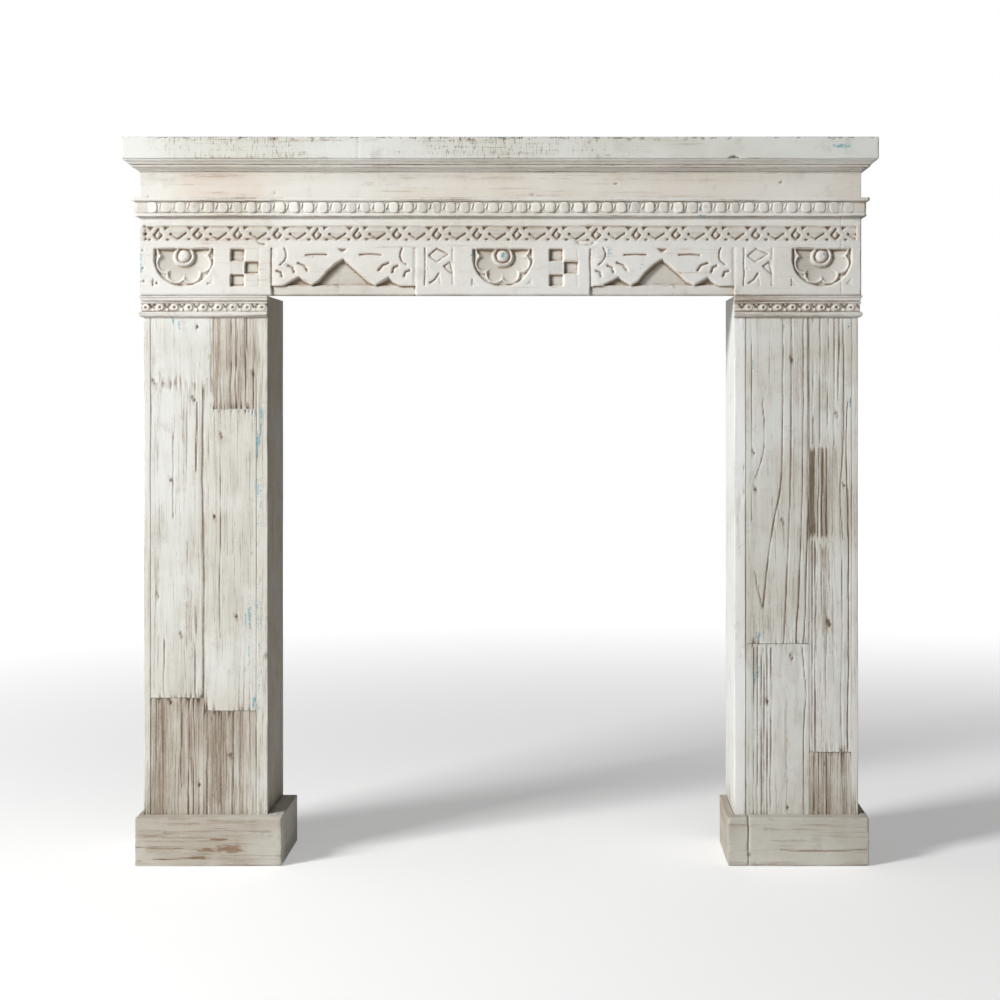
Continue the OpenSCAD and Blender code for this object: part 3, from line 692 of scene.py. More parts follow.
def cut(u, v, route, width, deep):
    """Depth of a V-shaped cut along a route of points."""
    depth = np.zeros(u.shape)
    for (u0, v0), (u1, v1) in zip(route, route[1:]):
        du, dv = u1 - u0, v1 - v0
        share = np.clip(((u - u0) * du + (v - v0) * dv) / (du * du + dv * dv), 0, 1)
        away = np.hypot(u - u0 - share * du, v - v0 - share * dv)
        depth = np.maximum(depth, deep * np.clip(1.15 - away / (0.5 * width), 0, 1))
    return depth


def pit(u, v, corners, deep, slope):
    """Depth of a flat-bottomed pit with sloping sides. Its corners run clockwise."""
    inner = np.full(u.shape, 1e3)
    for (u0, v0), (u1, v1) in zip(corners, corners[1:] + corners[:1]):
        length = math.hypot(u1 - u0, v1 - v0)
        inner = np.minimum(inner, ((u - u0) * (v1 - v0) - (v - v0) * (u1 - u0)) / length)
    return np.clip(inner * slope, 0, deep)


def rosette(u, v):
    """A dish with a scalloped rim round a boss and ring, in a half-round panel."""
    far = np.hypot(u, v)
    rim = np.min([np.hypot(u - 35.6 * math.cos(a), v - 35.6 * math.sin(a)) for a in
                  np.radians(np.arange(22.5, 360, 45))], axis=0) - 17.2
    rim = np.minimum(rim, far - 36)
    panel = np.minimum(56.0 - np.abs(u), 56.5 - np.hypot(u, np.minimum(v + 1, 0)))
    panel = np.minimum(panel, panel_top - rosette_v - v)
    bowl = 10.2 - 6.0 * (far / 53) ** 2
    depth = np.where(rim < 0, np.minimum(bowl, 0.6 - 1.7 * rim), np.minimum(5.0, 0.6 + 2.4 * rim))
    middle = np.interp(far, [0, 4, 8, 10.6, 12.6, 14.2, 16.2, 17.6, 19.4, 21.2, 25],
                       [1.0, 1.2, 2.4, 4.4, 7.6, 5.2, 3.4, 3.5, 5.2, 8.8, 9.0])
    depth = np.where(far < 25, middle, depth)
    swirl = np.abs(np.mod(far / 2.6 - np.arctan2(v, u) / (2 * math.pi), 1) - 0.5)
    depth = depth + 0.9 * hump(swirl, 0.2) * (far < 9) + 1.2 * hump(far, 2.6)
    tick = deepest(cut(u, v, [(-56.4, -43), (-56.6, -55)], 2.8, 2.4),
                   cut(u, v, [(54, -42), (54, -54)], 2.6, 1.0))
    corner = pit(u, v, [(-55, -54.5), (-55, -45), (-44, -54.5)], 1.4, 1)
    corner = corner + pit(u, v, [(43, -54), (53, -43), (53, -54)], 1.2, 1)
    return np.where(panel > 0, np.minimum(depth, panel * 4), np.maximum(tick, corner))


def checks(u, v):
    """Two columns of three squares, sunk in turn."""
    depth = np.zeros(u.shape)
    for col in (0, 1):
        for row in (0, 1, 2):
            left, foot = 27 * col, panel_top - 23.5 * (row + 1)
            square = [(left, foot), (left, foot + 23), (left + 26, foot + 23), (left + 26, foot)]
            if (col + row) % 2 == 0:
                depth = np.maximum(depth, pit(u, v, square, 6.6, 5))
            elif col == 0:
                inside = pit(u, v, square, 1, 5)
                depth = np.maximum(depth, inside * (0.3 + 0.07 * (u - left)))
            else:
                depth = np.maximum(depth, cut(u, v, square + square[:1], 2.2, 0.9))
    return depth


valance_edge = np.array([(-134.5, 15.9), (-113.5, 15.9), (-100, 23), (-82.8, 33.2), (-70, 24), (-58.6, 17.2),
                         (-45, 26), (-30, 43), (-14, 58), (0, 66.5), (14, 55), (31, 40), (45, 26.5),
                         (59.2, 18.2), (71, 24.6), (84.5, 33), (99, 21), (110, 15.9), (134.5, 15.9)])


def valance(u, v):
    """An arched edge over a sunk ground, with slits, crescents and a chip cut in the board above it."""
    edge = np.interp(u, *valance_edge.T)
    slope = np.where(u > 0, 2.4, 4.5)
    below = np.clip((edge - v) * 0.72 * slope, 0, 11) * (v > base_top) * (np.abs(u) < 134)
    below = np.minimum(below, np.clip((v - base_top) * 6, 0, 11))
    side = np.abs(u)
    slits = []
    for (u0, v0), (u1, v1) in (((123.4, 43.4), (113.6, 33.5)), ((101.5, 52.8), (91.2, 41)),
                               ((83.8, 58), (66.3, 44.4))):
        belly = (0.5 * (u0 + u1) - 2.2, 0.5 * (v0 + v1) + 2.4)
        slits.append(cut(side, v, [(u0, v0), belly, (u1, v1)], 6.0, 3.6))
    step = 1.6 * np.clip(1 - (u + 134.2) / 12, 0, 1) * (u > -134.2) + 1.2 * hump(u - 133, 3.2)
    step = np.maximum(step, 3.4 * np.clip(1 - np.abs(u + 133.6) / 2.2, 0, 1))
    return deepest(below, *slits, step * (v > base_top) * (v < panel_top + 1),
                   cut(side, v, [(110, 86), (106.6, 79), (105.8, 70), (109, 62), (117.5, 54.5)], 3.6, 3.0),
                   cut(side, v, [(31, 73.4), (50, 74.2), (70, 72.6)], 4.6, 3.0),
                   pit(u, v, [(-13.4, 86), (11.5, 86), (2, 77), (-3, 77)], 3.5, 1.2))


def diamonds(u, v):
    """A narrow panel with V-cut diamonds and half diamonds."""
    whole, half = [(7.8, 71.5), (23, 84.4), (44, 74.3), (22, 60.5)], [(36.4, 52), (47.6, 60), (52.2, 37.4)]
    return deepest(cut(u, v, [(0.5, 16), (0.5, panel_top)], 3.0, 2.6),
                   cut(u, v, [(52.5, 17), (52.5, panel_top)], 5.0, 1.2),
                   *(cut(u, v, shape + shape[:1], 4.2, 3.2) for shape in (whole, half)),
                   *(pit(u, v, shape, 1.2, 1) for shape in (whole, half)),
                   pit(u, v, [(3.7, 44), (3.7, 51), (11, 47.4)], 3.2, 1),
                   cut(u, v, [(26.8, 39), (19, 27), (10.2, 21)], 4.4, 3.2),
                   cut(u, v, [(26.8, 39), (29.6, 17), (10.2, 21)], 2.6, 1.4))


def chip_band(u, v):
    """Small cut diamonds with a V between them, and chips hanging from the band's upper line."""
    near = nearest(u - diamond_u, diamond_pitch)
    between = np.mod(u - diamond_u, diamond_pitch) - diamond_pitch / 2
    w = v - diamond_v
    chips = (3.4 * np.clip(1.2 - np.hypot((near - chip) / 3.6, (w + 8.8) / 2.0), 0, 1)
             for chip in (-15.8, 18.4))
    depth = deepest(cut(near, w, [(0.9, 10.4), (-7.4, 0), (0, -8), (7.4, 0)], 4.6, 3.8),
                    cut(near, w, [(7.4, 0), (2, 6)], 3.4, 2.8),
                    cut(between, w, [(-14, 1.6), (-0.6, -8)], 3.4, 2.6),
                    cut(between, w, [(-0.6, -8), (14.9, 2.6)], 4.8, 3.6),
                    4.6 * np.clip(1.3 - np.hypot(between + 13.6, w - 1.6) / 2.2, 0, 1),
                    pit(between, w, [(-13.9, 1.5), (-9, 5), (10, 5), (14.9, 2.5), (-0.6, -8)], 0.9, 0.5),
                    pit(near, w, [(-22.5, 16), (-6.5, 16), (-13.6, 6.6)], 4.2, 1.1),
                    pit(near, w, [(9.5, 16), (23.5, 16), (12, 6.8)], 4.2, 1.1),
                    *chips,
                    cut(between, w, [(-24, -7.6), (24, -7.6)], 2.0, 1.0))
    ends = np.abs(u) < frieze_high[0] - 9
    ground = 1.7 * np.clip((band_top - v) * 1.4, 0, 1) * np.clip((v - band_foot + 0.5) / 5.5, 0, 1)
    inside = (v < band_top + 0.5) & (v > band_foot - 1)
    return (ground + 1.25 * depth * inside) * ends


def blurred(grid, reach):
    """The mean of a grid over squares of 2 * reach + 1 cells."""
    for axis in (0, 1):
        padded = np.pad(grid, [(reach + 1, reach) if a == axis else (0, 0) for a in (0, 1)], mode="edge")
        total = np.cumsum(padded, axis=axis)
        size = 2 * reach + 1
        grid = (np.take(total, range(size, total.shape[axis]), axis)
                - np.take(total, range(total.shape[axis] - size), axis)) / size
    return grid


carve_rise = 2.2        # how far the carving sits above the board's lower edge
columns = 1034        # points along the board
xs = np.linspace(frieze_low[0], frieze_high[0], columns)
zs = frieze_low[2] + np.concatenate([np.arange(0, 13, 3.2), np.linspace(14, 133, 83),
                                     np.linspace(136, frieze_high[2] - frieze_low[2], 8)])
grid_x, grid_z = np.meshgrid(xs, zs, indexing="ij")
flat = np.stack([grid_x, np.zeros_like(grid_x), grid_z], -1)
u = grid_x + 1.1 * noise(flat, (24, 1, 20), 81, 2)
v = grid_z - frieze_low[2] - carve_rise + 0.9 * noise(flat, (24, 1, 20), 82, 2)
near_rosette = nearest(u - shift_x, repeat_w)
near_valance = np.mod(u - shift_x, repeat_w) - repeat_w / 2
depth = deepest(
    rosette(near_rosette, v - rosette_v),
    checks(near_rosette - 86.7, v),
    valance(near_valance, v) * (np.abs(near_valance) < 140),
    diamonds(near_rosette + 145.3, v) * (near_rosette < -88) * (near_rosette > -150),
    chip_band(u, v),
    5 * (np.abs(near_valance) < 134.3) * (v < base_top),
    cut(u, v, [(-660, 130.4), (660, 130.4)], 1.8, 0.7),
    cut(u, v, [(634, 0), (634.6, 60), (633.6, 120), (634.2, 162)], 2.0, 1.3),
    cut(u, v, [(-454, 99), (-448, 94), (-440, 92)], 4.5, 2.2),
    cut(u, v, [(-648, 25), (-647.4, 15)], 3.0, 2.6),
    pit(u, v, [(-549, 17), (-546, 24), (-539, 16)], 2.4, 1))
scoop = np.hypot((u - 158.6) / 17, (v - 96.5) / 5.2)
depth = depth + 1.8 * hump(scoop - 0.9, 0.22) + 0.8 * (scoop < 0.9)
for hole_u, hole_v in ((-663, 126), (-663, 112.5), (-662, 102), (-667, 81), (-666, 48), (-664, 24),
                       (-640, 21)):
    depth = depth + 3.2 * np.exp(-((u - hole_u) ** 2 + (v - hole_v) ** 2) / 4.0)
depth = 0.55 * depth + 0.45 * blurred(depth, 1)
edge = np.minimum.reduce([grid_x - frieze_low[0], frieze_high[0] - grid_x, grid_z - frieze_low[2]])
rub = 1.8 * (1 + 0.7 * noise(flat, (40, 1, 40), 83, 2))
depth = depth + np.where(edge < rub, rub - np.sqrt(np.maximum(rub ** 2 - (rub - edge) ** 2, 0)), 0)
uneven = noise(flat, (90, 1, 30), 84, 3) * 0.35 + noise(flat, (22, 1, 3.2), 85, 2) * 0.16
uneven = uneven + noise(flat, (5, 1, 4), 86) * 0.1
depth = np.maximum(depth + 0.45 + uneven, 0.05)
hollow = depth - blurred(depth, 3)
wide_hollow = depth - blurred(depth, 8)
drift = 0.7 + 0.5 * noise(flat, (60, 1, 40), 87, 3)
in_band = (v > band_foot - 1) * (v < band_top + 1)
# How much deeper the board is here than a little up and to the left: high just inside the left and top walls,
# where shadow falls.
shadow_side = depth - np.roll(depth, (3, -3), (0, 1))
# Brown wash in the cuts, weighted to paint shadow just inside the left and top walls, and a wash over the
# chip band.
cavity = 0.74 * np.clip(hollow - 0.1, 0, 2) * (0.3 + 0.7 * rise(shadow_side, -0.6, 0.8)) + 0.14 * in_band * drift
# Painted shade: a brown film that grows with the depth of the cut, along the shadowed walls and in wide
# hollows, with brown film over the chip band.
film_and_shade = 0.05 * np.clip(depth - 1.2, 0, 9) * (0.6 + 0.5 * drift) + 0.2 * in_band + 0.07 * np.clip(shadow_side, 0, 7)
film_and_shade = film_and_shade + 0.03 * np.clip(wide_hollow, 0, 6)
teal = np.zeros(depth.shape)
for stain_u, stain_v, wide, tall, much in (
        (4, 73, 7, 7, 0.95), (600, 73, 6, 6, 0.8), (-54, 70, 4, 14, 0.7), (60, 66, 3, 14, 0.6),
        (-400, 62, 9, 12, 0.6), (-355, 70, 20, 5, 0.5), (200, 78, 10, 16, 0.6), (-670, 60, 4, 60, 0.7),
        (262, 52, 8, 10, 0.5)):
    teal = teal + much * hump(u - stain_u, wide, v - stain_v, tall)
ids = np.arange(grid_x.size).reshape(grid_x.shape)
front = np.stack([ids[:-1, :-1], ids[1:, :-1], ids[1:, 1:], ids[:-1, 1:]], -1).reshape(-1, 4)
rim = np.concatenate([ids[:-1, 0], ids[-1, :-1], ids[:0:-1, -1], ids[0, :0:-1]])
back = grid_x.size + np.arange(len(rim))
edges = np.stack([np.roll(rim, -1), rim, back, np.roll(back, -1)], -1)
points = np.stack([grid_x, frieze_low[1] + depth, grid_z], -1).reshape(-1, 3)
behind = points[rim]
behind[:, 1] = frieze_high[1]
worn = np.clip(-0.35 * hollow, 0, 0.6) + 0.5 * (edge < 2.2)
fields = {"cavity": cavity, "worn": worn, "teal": teal, "film_and_shade": film_and_shade}
fields = {key: np.append(value, np.zeros(len(rim))) for key, value in fields.items()}
stands_for(solid("carved_frieze", np.vstack([points, behind]), [front, edges, back[::-1][None]], frieze_paint,
                 **fields), "frieze_board")

# ---- Capitals ----
# A low moulding round the top of each leg, on its front and outer side only: a thin bead, a fascia, a
# band of drilled eyes with darts between them, and a torus. It is mitred at the leg's outer corner.
capital_paint, capital_side_paint = paint_pair(
    "whitewashed_capital", (0.81, 0.79, 0.745), (0.74, 0.71, 0.64), (0.36, 0.27, 0.19), (0.12, 0.085, 0.06),
    dirty=-0.08, open_grain=0.3)
cap_box = box_of("left_capital_front")
cap_h, cap_p = cap_box[1][2] - cap_box[0][2], cap_box[1][1] - cap_box[0][1]
eye_z, eye_pitch, eye_wide, eye_tall = 19.0, 27.1, 15.6, 12.8
cap_profile = filled(
    [[0, cap_h], [cap_p - 1.4, cap_h], [cap_p - 0.4, cap_h - 1], [cap_p - 0.4, cap_h - 3.2],
     [cap_p - 2.4, cap_h - 4.4], [0.52 * cap_p, cap_h - 9.5], [0.3 * cap_p, cap_h - 10.6],
     [0.62 * cap_p, cap_h - 11.8], [0.62 * cap_p, cap_h - 14.6], [0.36 * cap_p, cap_h - 15.8],
     [0.36 * cap_p, 12.4], [0.2 * cap_p, 11.4], *bow(cap_p - 5.6, 6.2, 5.5, 66, -78), [0.25 * cap_p, 0.3],
     [0, 0]], 1.7)


def wings(at, width, deep):
    """The slanting cuts on both sides of each eye."""
    away = np.abs(nearest(at[..., 0] - cap_start, eye_pitch))
    return cut(away, at[..., 2] - eye_z, [(8.6, 5.4), (13.5, -1.0)], width, deep)


def cap_carve(at):
    """The wings are cut in the band only."""
    run, stand, height = np.moveaxis(at, -1, 0)
    return wings(at, 3.2, 1.6) * (stand > 0.2) * (height > 11) * (height < cap_h - 14)


def cap_colours(at, hollow):
    """Brown wash in the band and the wings, on the fascia and along the quirks."""
    run, stand, height = np.moveaxis(at, -1, 0)
    drift = 0.7 + 0.5 * noise(at, (50, 60, 60), 92, 3)
    band = (height > 11.5) * (height < cap_h - 15) * (stand > 0.2)
    fascia = (height > cap_h - 10.8) * (height < cap_h - 4) * (stand > 0.2)
    line = hump(height - 11.4, 1.0) + hump(height - cap_h + 10.7, 0.9) + 0.8 * hump(height - 0.6, 1.2)
    dirt = 0.42 * band * drift + 0.34 * fascia * drift + 0.75 * line + 0.9 * (wings(at, 4.4, 1.0) * band)
    return {"cavity": np.clip(dirt, 0, 1), "worn": np.clip(0.2 - 0.8 * hollow, 0, 1) * 0.6}


eye_size = (eye_wide / 2, eye_tall / 2, 0.56 * cap_p)
field_out = 0.36 * cap_p
eye_look = {**dart_look, "Hole": 0.62, "Hole depth": 1.0, "Dirt": 0.5, "Worn start": 0.01}
for leg, way, first_eye, fade in (("left", -1, 5.0, 0.5), ("right", 1, 14.0, 0.15)):
    low, high = box_of(f"{leg}_capital_front")
    corner_x = low[0] + cap_p if way < 0 else high[0] - cap_p
    eyes = int((high[0] - low[0] - cap_p - first_eye - eye_wide / 2) // eye_pitch) + 1
    cap_start = corner_x - way * first_eye
    step = (-way * eye_pitch, 0.0, 0.0)
    moulded_run(f"{leg}_capital_band", f"{leg}_capital_front", cap_profile, (way < 0, way > 0), "front", 2.4,
                capital_paint, 94 + way, cap_carve, cap_colours, 0.3)
    laid(f"{leg}_capital_eyes", capital_paint, {**eye_look, "Worn end": fade}, eyes, eye_size,
         step, (cap_start, high[1] - field_out, low[2] + eye_z))
    laid(f"{leg}_capital_darts", capital_paint,
         {**dart_look, "Worn start": 0.01, "Worn end": fade}, eyes - 1, (2.6, 3.4, 2.0),
         step, (cap_start - way * eye_pitch / 2, high[1] - field_out, low[2] + eye_z - 4.2))
    low, high = box_of(f"{leg}_capital_return")
    side_eyes = int((high[1] - low[1] - cap_p - first_eye - eye_wide / 2) // eye_pitch) + 1
    cap_start = low[1] + cap_p + first_eye
    moulded_run(f"{leg}_capital_side", f"{leg}_capital_return", cap_profile, (True, False), leg, 2.8,
                capital_side_paint, 97 + way, cap_carve, cap_colours, 0.3)
    back_x = high[0] if way < 0 else low[0]
    laid(f"{leg}_capital_side_eyes", capital_side_paint,
         {**eye_look, "Turn": (quarter, 0.0, way * quarter), "Worn end": 0.2}, side_eyes, eye_size,
         (0.0, eye_pitch, 0.0), (back_x + way * field_out, cap_start, low[2] + eye_z))

# ---- Leg side boards ----
# Each leg is a box of old boards, open at the back. The side boards run from the floor to the header,
# in front of which their edges show beside the front planks. They are sawn and whitewashed thinly.
side_board_paint = whitewash("whitewashed_leg_side", "Z", (0.80, 0.785, 0.74), (0.72, 0.69, 0.61),
                             (0.34, 0.27, 0.20), (0.12, 0.09, 0.065), dirty=0.05, open_grain=0.6)


def fibres(points, seed, fine=2.6, run=110.0):
    """Open grain along Z: 0 between the fibres and up to 1 in the grooves."""
    return rise(noise(points, (fine, fine * 3, run), seed, 2), 0.15, 0.85)


def side_board_work(points, out, arris):
    """Open grain and nicks, dirt towards the floor and flecks of the older teal paint."""
    x, y, z = points.T
    groove = fibres(points, 101) * (0.4 + 0.6 * rise(noise(points, (30, 30, 260), 102), -0.2, 0.5))
    nicks = rise(noise(points, (7, 7, 9), 103), 0.74, 0.9)
    sunk = 0.55 * groove + 1.1 * nicks
    foot = rise(-z, -150, -92) * 0.3
    teal = 0.6 * rise(noise(points, (16, 30, 60), 104, 2), 0.45, 0.8)
    teal = teal * rise(noise(points, (200, 200, 320), 105), 0, 0.5)
    return sunk, {"cavity": 0.55 * groove + 0.4 * nicks + foot, "teal": teal,
                  "worn": 0.8 * arris * (0.5 + 0.5 * noise(points, (20, 20, 70), 106, 2))}


# Painted light: a whiter copy of the leg side paint for the right leg's inner board, which faces the light.
painted_light_side_paint = whitewash("painted_light_leg_side", "Z", (0.95, 0.955, 0.93), (0.88, 0.87, 0.83),
                              (0.42, 0.34, 0.26), (0.16, 0.12, 0.09), dirty=-0.1, open_grain=0.5)


def shaded_side_work(points, out, arris):
    """The left leg's inner board, darkened over its face towards the opening by painted shade mixed with some
    brown dirt. Teal shows on its edge.
    """
    sunk, fields = side_board_work(points, out, arris)
    x, y, z = points.T
    chips = rise(noise(points, (4, 9, 22), 107, 2), -0.35, 0.3) * rise(-x, 441, 449)
    strip = rise(z, 740, 760) * (1 - rise(z, 846, 856)) + 0.6 * (z > 280) * (z < 740)
    teal = 0.95 * chips * strip * (out[:, 1] < -0.5)
    # Painted shade with some dirt: the brown film covers the whole face towards the opening.
    return sunk, {**fields, "film_and_shade": 0.5 * rise(out[:, 0], 0.5, 0.95), "teal": teal}


for leg in ("left", "right"):
    for place in ("outer", "inner"):
        work = shaded_side_work if (leg, place) == ("left", "inner") else side_board_work
        # The right leg's inner board takes the whiter copy of the paint, as painted light.
        paint = painted_light_side_paint if (leg, place) == ("right", "inner") else side_board_paint
        worked_block(f"{leg}_{place}_board", f"{leg}_{place}_side", (3.4, 6.5, 11.0), paint, work, radius=1.7,
                     ragged=1.3, grain=2, dents=0.6, seed=110 + 7 * (leg == "left") + 3 * (place == "inner"))

# ---- Leg front planks ----
# Old tongueless planks, nailed edge to edge between the side boards and pieced end to end with butt
# joints. Some are weathered into deep brown grooves, others were planed smooth before they were
# painted teal and then whitewashed. The grain runs round the knots, and there are nail holes and splits.
plank_paint = whitewash("whitewashed_plank", "Z", (0.80, 0.805, 0.76), (0.70, 0.68, 0.61),
                        (0.35, 0.27, 0.20), (0.13, 0.085, 0.06), dirty=0.0, open_grain=0.6)
grooved_paint = whitewash("weathered_plank", "Z", (0.72, 0.70, 0.635), (0.60, 0.555, 0.475),
                          (0.33, 0.25, 0.18), (0.10, 0.07, 0.05), dirty=0.1, open_grain=0.9)


def eased(route, steps=6):
    """The same route of points with its corners rounded off."""
    spots = np.array(route, float)
    along = np.linspace(0, len(spots) - 1, steps * (len(spots) - 1) + 1)
    fine = [np.interp(along, np.arange(len(spots)), spots[:, axis]) for axis in (0, 1)]
    padded = [np.pad(row, steps // 2, mode="reflect", reflect_type="odd") for row in fine]
    soft = [np.convolve(row, np.ones(steps + 1) / (steps + 1), "valid") for row in padded]
    return list(zip(*soft))


def plank_work(seed, coarse, bands=(), knots=(), holes=(), teals=(), splits=(), butts=()):
    """Makes the work for one plank.

    coarse is how deep its grain is weathered. bands are (x, half width, foot, top, strength) of brown
    grooves, knots (x, z, radius), holes (x, z, radius), teals (x, z, wide, tall), splits (width, route)
    and butts the heights where its end has frayed."""

    def work(points, out, arris):
        x, y, z = points.T
        front = np.clip(-out[:, 1], 0, 1)
        bend = np.zeros(len(x))
        for knot_x, knot_z, r in knots:
            near = hump(x - knot_x, 2.2 * r, z - knot_z, 3.4 * r)
            bend = bend - (x - knot_x) * 0.8 * near
        bend = bend + 3.0 * noise(points, (60, 60, 260), seed + 5)
        bent = points + np.column_stack([bend, 0 * bend, 0 * bend])
        patchy = 0.35 + 0.65 * rise(noise(bent, (22, 60, 300), seed + 1), -0.3, 0.5)
        groove = fibres(bent, seed, 2.4, 120) * patchy
        deep = coarse * groove
        dirt = 0.5 * groove * (0.4 + coarse)
        ragged_z = z + 14 * noise(points, (3.2, 9, 500), seed + 10)
        for band_x, half, foot, top, much in bands:
            inside = np.exp(-((x + bend - band_x) / half) ** 4) * rise(ragged_z, foot, foot + 9)
            inside = inside * (1 - rise(ragged_z, top - 9, top))
            ridged = fibres(bent, seed + 2, 2.6, 200)
            deep = deep + inside * much * (0.25 + 1.1 * ridged)
            dirt = dirt + inside * much * (0.28 + 0.5 * ridged)
        teal = np.zeros(len(x))
        bare = np.zeros(len(x))
        for knot_x, knot_z, r in knots:
            far = np.hypot((x - knot_x) / r, (z - knot_z) / (1.5 * r))
            far = far + 0.25 * noise(points, (9, 9, 14), seed + 12, 2)
            deep = deep * (1 - np.exp(-(far / 1.3) ** 4)) + 0.35 * hump(far - 1.1, 0.3)
            dirt = dirt * (1 - np.exp(-(far / 1.2) ** 4)) + 0.16 * hump(far - 1.1, 0.4)
            bare = bare + 0.2 * np.exp(-far ** 2)
        for hole_x, hole_z, r in holes:
            away = np.hypot((x - hole_x + 0.5 * (z - hole_z)) / r, 0.5 * (z - hole_z) / r)
            deep = deep + 3.2 * np.exp(-away ** 2)
            dirt = dirt + 1.1 * hump(away, 1.25)
        for spot_x, spot_z, wide, tall in teals:
            broken = 0.3 + 0.9 * rise(noise(points, (3, 9, 26), seed + 8, 2), -0.3, 0.5)
            teal = teal + 0.85 * broken * hump(x - spot_x, wide, z - spot_z, tall)
        for width, route in splits:
            route = eased(route)
            line = cut(x + 1.2 * noise(points, (9, 60, 45), seed + 13, 2), z, route, width, 1.0)
            deep = deep + 1.1 * line
            dirt = dirt + 0.95 * line
        for butt_z in butts:
            frayed = rise(noise(points, (2.4, 9, 24), seed + 7), -0.15, 0.5)
            frayed = frayed * np.exp(-np.abs(z - butt_z) / 9)
            frayed = frayed * (0.75 + 0.7 * noise(points, (26, 9, 9), seed + 9))
            deep, dirt = deep + 1.8 * frayed, dirt + 0.9 * frayed
        nicks = rise(noise(points, (5, 9, 8), seed + 3), 0.78, 0.93)
        stain = 0.28 * rise(noise(bent, (11, 30, 80), seed + 11, 3), -0.1, 0.65)
        teal = teal + 0.5 * rise(noise(points, (14, 30, 50), seed + 4, 2), 0.5, 0.8)
        worn = 0.85 * arris * (0.55 + 0.5 * noise(points, (20, 20, 60), seed + 6, 2))
        deep, dirt = np.clip(deep, 0, None), np.clip(dirt, 0, None)
        return front * (deep + 1.2 * nicks), {"cavity": front * (dirt + 0.5 * nicks) + 0.05 * arris,
                                              "teal": teal * front, "bare": bare * front, "worn": worn,
                                              "bend": 0.01 * bend, "film_and_shade": stain * front}

    return work


def plank(node, seed, material, coarse, lines=(), splits=(), **features):
    """One front plank. lines are (x, foot, top) of long brown grooves that wander a little."""
    grooves = [(2.0, [(x, top), (x + 1.2, 0.6 * top + 0.4 * foot), (x - 1.0, 0.3 * top + 0.7 * foot),
                      (x, foot)]) for x, foot, top in lines]
    work = plank_work(seed, coarse, splits=[*splits, *grooves], **features)
    worked_block(node + "_plank", node, (1.8, 4.4, 6.2), material, work, radius=0.3, ragged=1.4, grain=2,
                 dents=0.7, seed=seed)


plank("left_front_outer_top", 201, plank_paint, 0.36, butts=(309, 893),
      bands=((-583, 8, 405, 612, 0.8), (-584, 7, 690, 870, 0.5), (-600, 12, 640, 860, 0.4),
             (-644, 5, 310, 890, 0.5), (-574, 4, 310, 890, 0.4)),
      splits=((5.0, [(-555, 886), (-557.5, 700), (-554.6, 560), (-555.4, 420), (-555, 306)]),),
      lines=((-541.5, 885, 1020), (-568, 730, 860), (-570, 310, 480), (-612, 640, 800), (-628, 310, 420)),
      knots=((-640, 905, 5),),
      holes=((-649, 898, 2), (-567, 1000, 2), (-574, 865, 2.2), (-616, 714, 2.2), (-640, 499, 2),
             (-597, 425, 2)),
      teals=((-612, 1010, 8, 10), (-603, 578, 3, 8), (-616, 840, 2, 8)))
plank("left_front_inner_top", 211, grooved_paint, 0.6, butts=(848,),
      bands=((-526, 9, 846, 1060, 0.45), (-482, 12, 846, 1060, 0.3)),
      lines=((-538.5, 846, 1060), (-503, 846, 1060), (-494, 846, 1060), (-475, 846, 1060), (-461, 846, 1060)),
      holes=((-463, 913, 2),))
plank("left_front_inner_middle", 221, plank_paint, 0.18, butts=(286, 843),
      bands=((-547, 3, 280, 850, 0.8),), splits=((4.0, [(-554.5, 850), (-553, 560), (-555, 283)]),),
      lines=((-524, 420, 760),), holes=((-522, 797, 2.4), (-535, 645, 2.2), (-493, 458, 2)),
      teals=((-459, 700, 3, 150), (-466, 835, 9, 8), (-460, 300, 7, 20), (-470, 450, 10, 90)))
plank("left_front_outer_foot", 231, grooved_paint, 0.4, butts=(304,),
      bands=((-636, 17, -40, 318, 1.0), (-566, 8, 60, 318, 0.7), (-602, 16, -40, 200, -0.5)),
      holes=((-617, 300, 2), (-563, 145, 2)),
      lines=((-582, 60, 306), (-573, 60, 306), (-596, 140, 306)))
plank("left_front_inner_foot", 241, grooved_paint, 0.5, butts=(280,),
      bands=((-532, 18, 100, 292, 0.8), (-514, 30, -40, 292, 0.4), (-484, 4, -40, 292, 0.9)),
      holes=((-504, 199, 2),), lines=((-548, 60, 283), (-500, 20, 283)))
plank("right_front_inner_top", 251, plank_paint, 0.3, butts=(411,),
      lines=((573.4, 640, 1040), (468, 640, 1010)),
      splits=((3.2, [(527, 1022), (526, 850), (525.6, 703), (510, 648), (496, 538), (489, 476)]),
              (2.6, [(473, 545), (480, 510), (488, 476)]), (3.0, [(543, 1022), (541, 662), (528, 408)]),
              (3.0, [(565, 1022), (563.6, 634), (551, 408)]), (3.0, [(573.4, 640), (566, 408)]),
              (2.0, [(487, 860), (496, 800), (487, 745), (472, 712)])),
      bands=((553, 9, 400, 1040, 0.35),),
      holes=((475, 697, 2.4), (543, 939, 2.4), (472, 766, 2), (526, 637, 2)),
      teals=((470, 928, 3, 14), (490, 478, 5, 6), (480, 430, 14, 20)))
plank("right_front_inner_foot", 261, plank_paint, 0.3, butts=(405,),
      lines=((472, 60, 402), (479, 60, 402), (486, 60, 402), (491, 60, 402), (497, 60, 402), (504, 80, 402)),
      splits=((2.6, [(563, 402), (566, 350), (572, 318), (566, 270), (565, 140), (568, 20)]),),
      bands=((488, 20, 100, 402, 0.35), (532, 4, 90, 330, 0.35)),
      knots=((548, 356, 10),), holes=((543, 383, 2.2), (498, 299, 2.6), (536, 101, 2)),
      teals=((476, 360, 10, 50),))
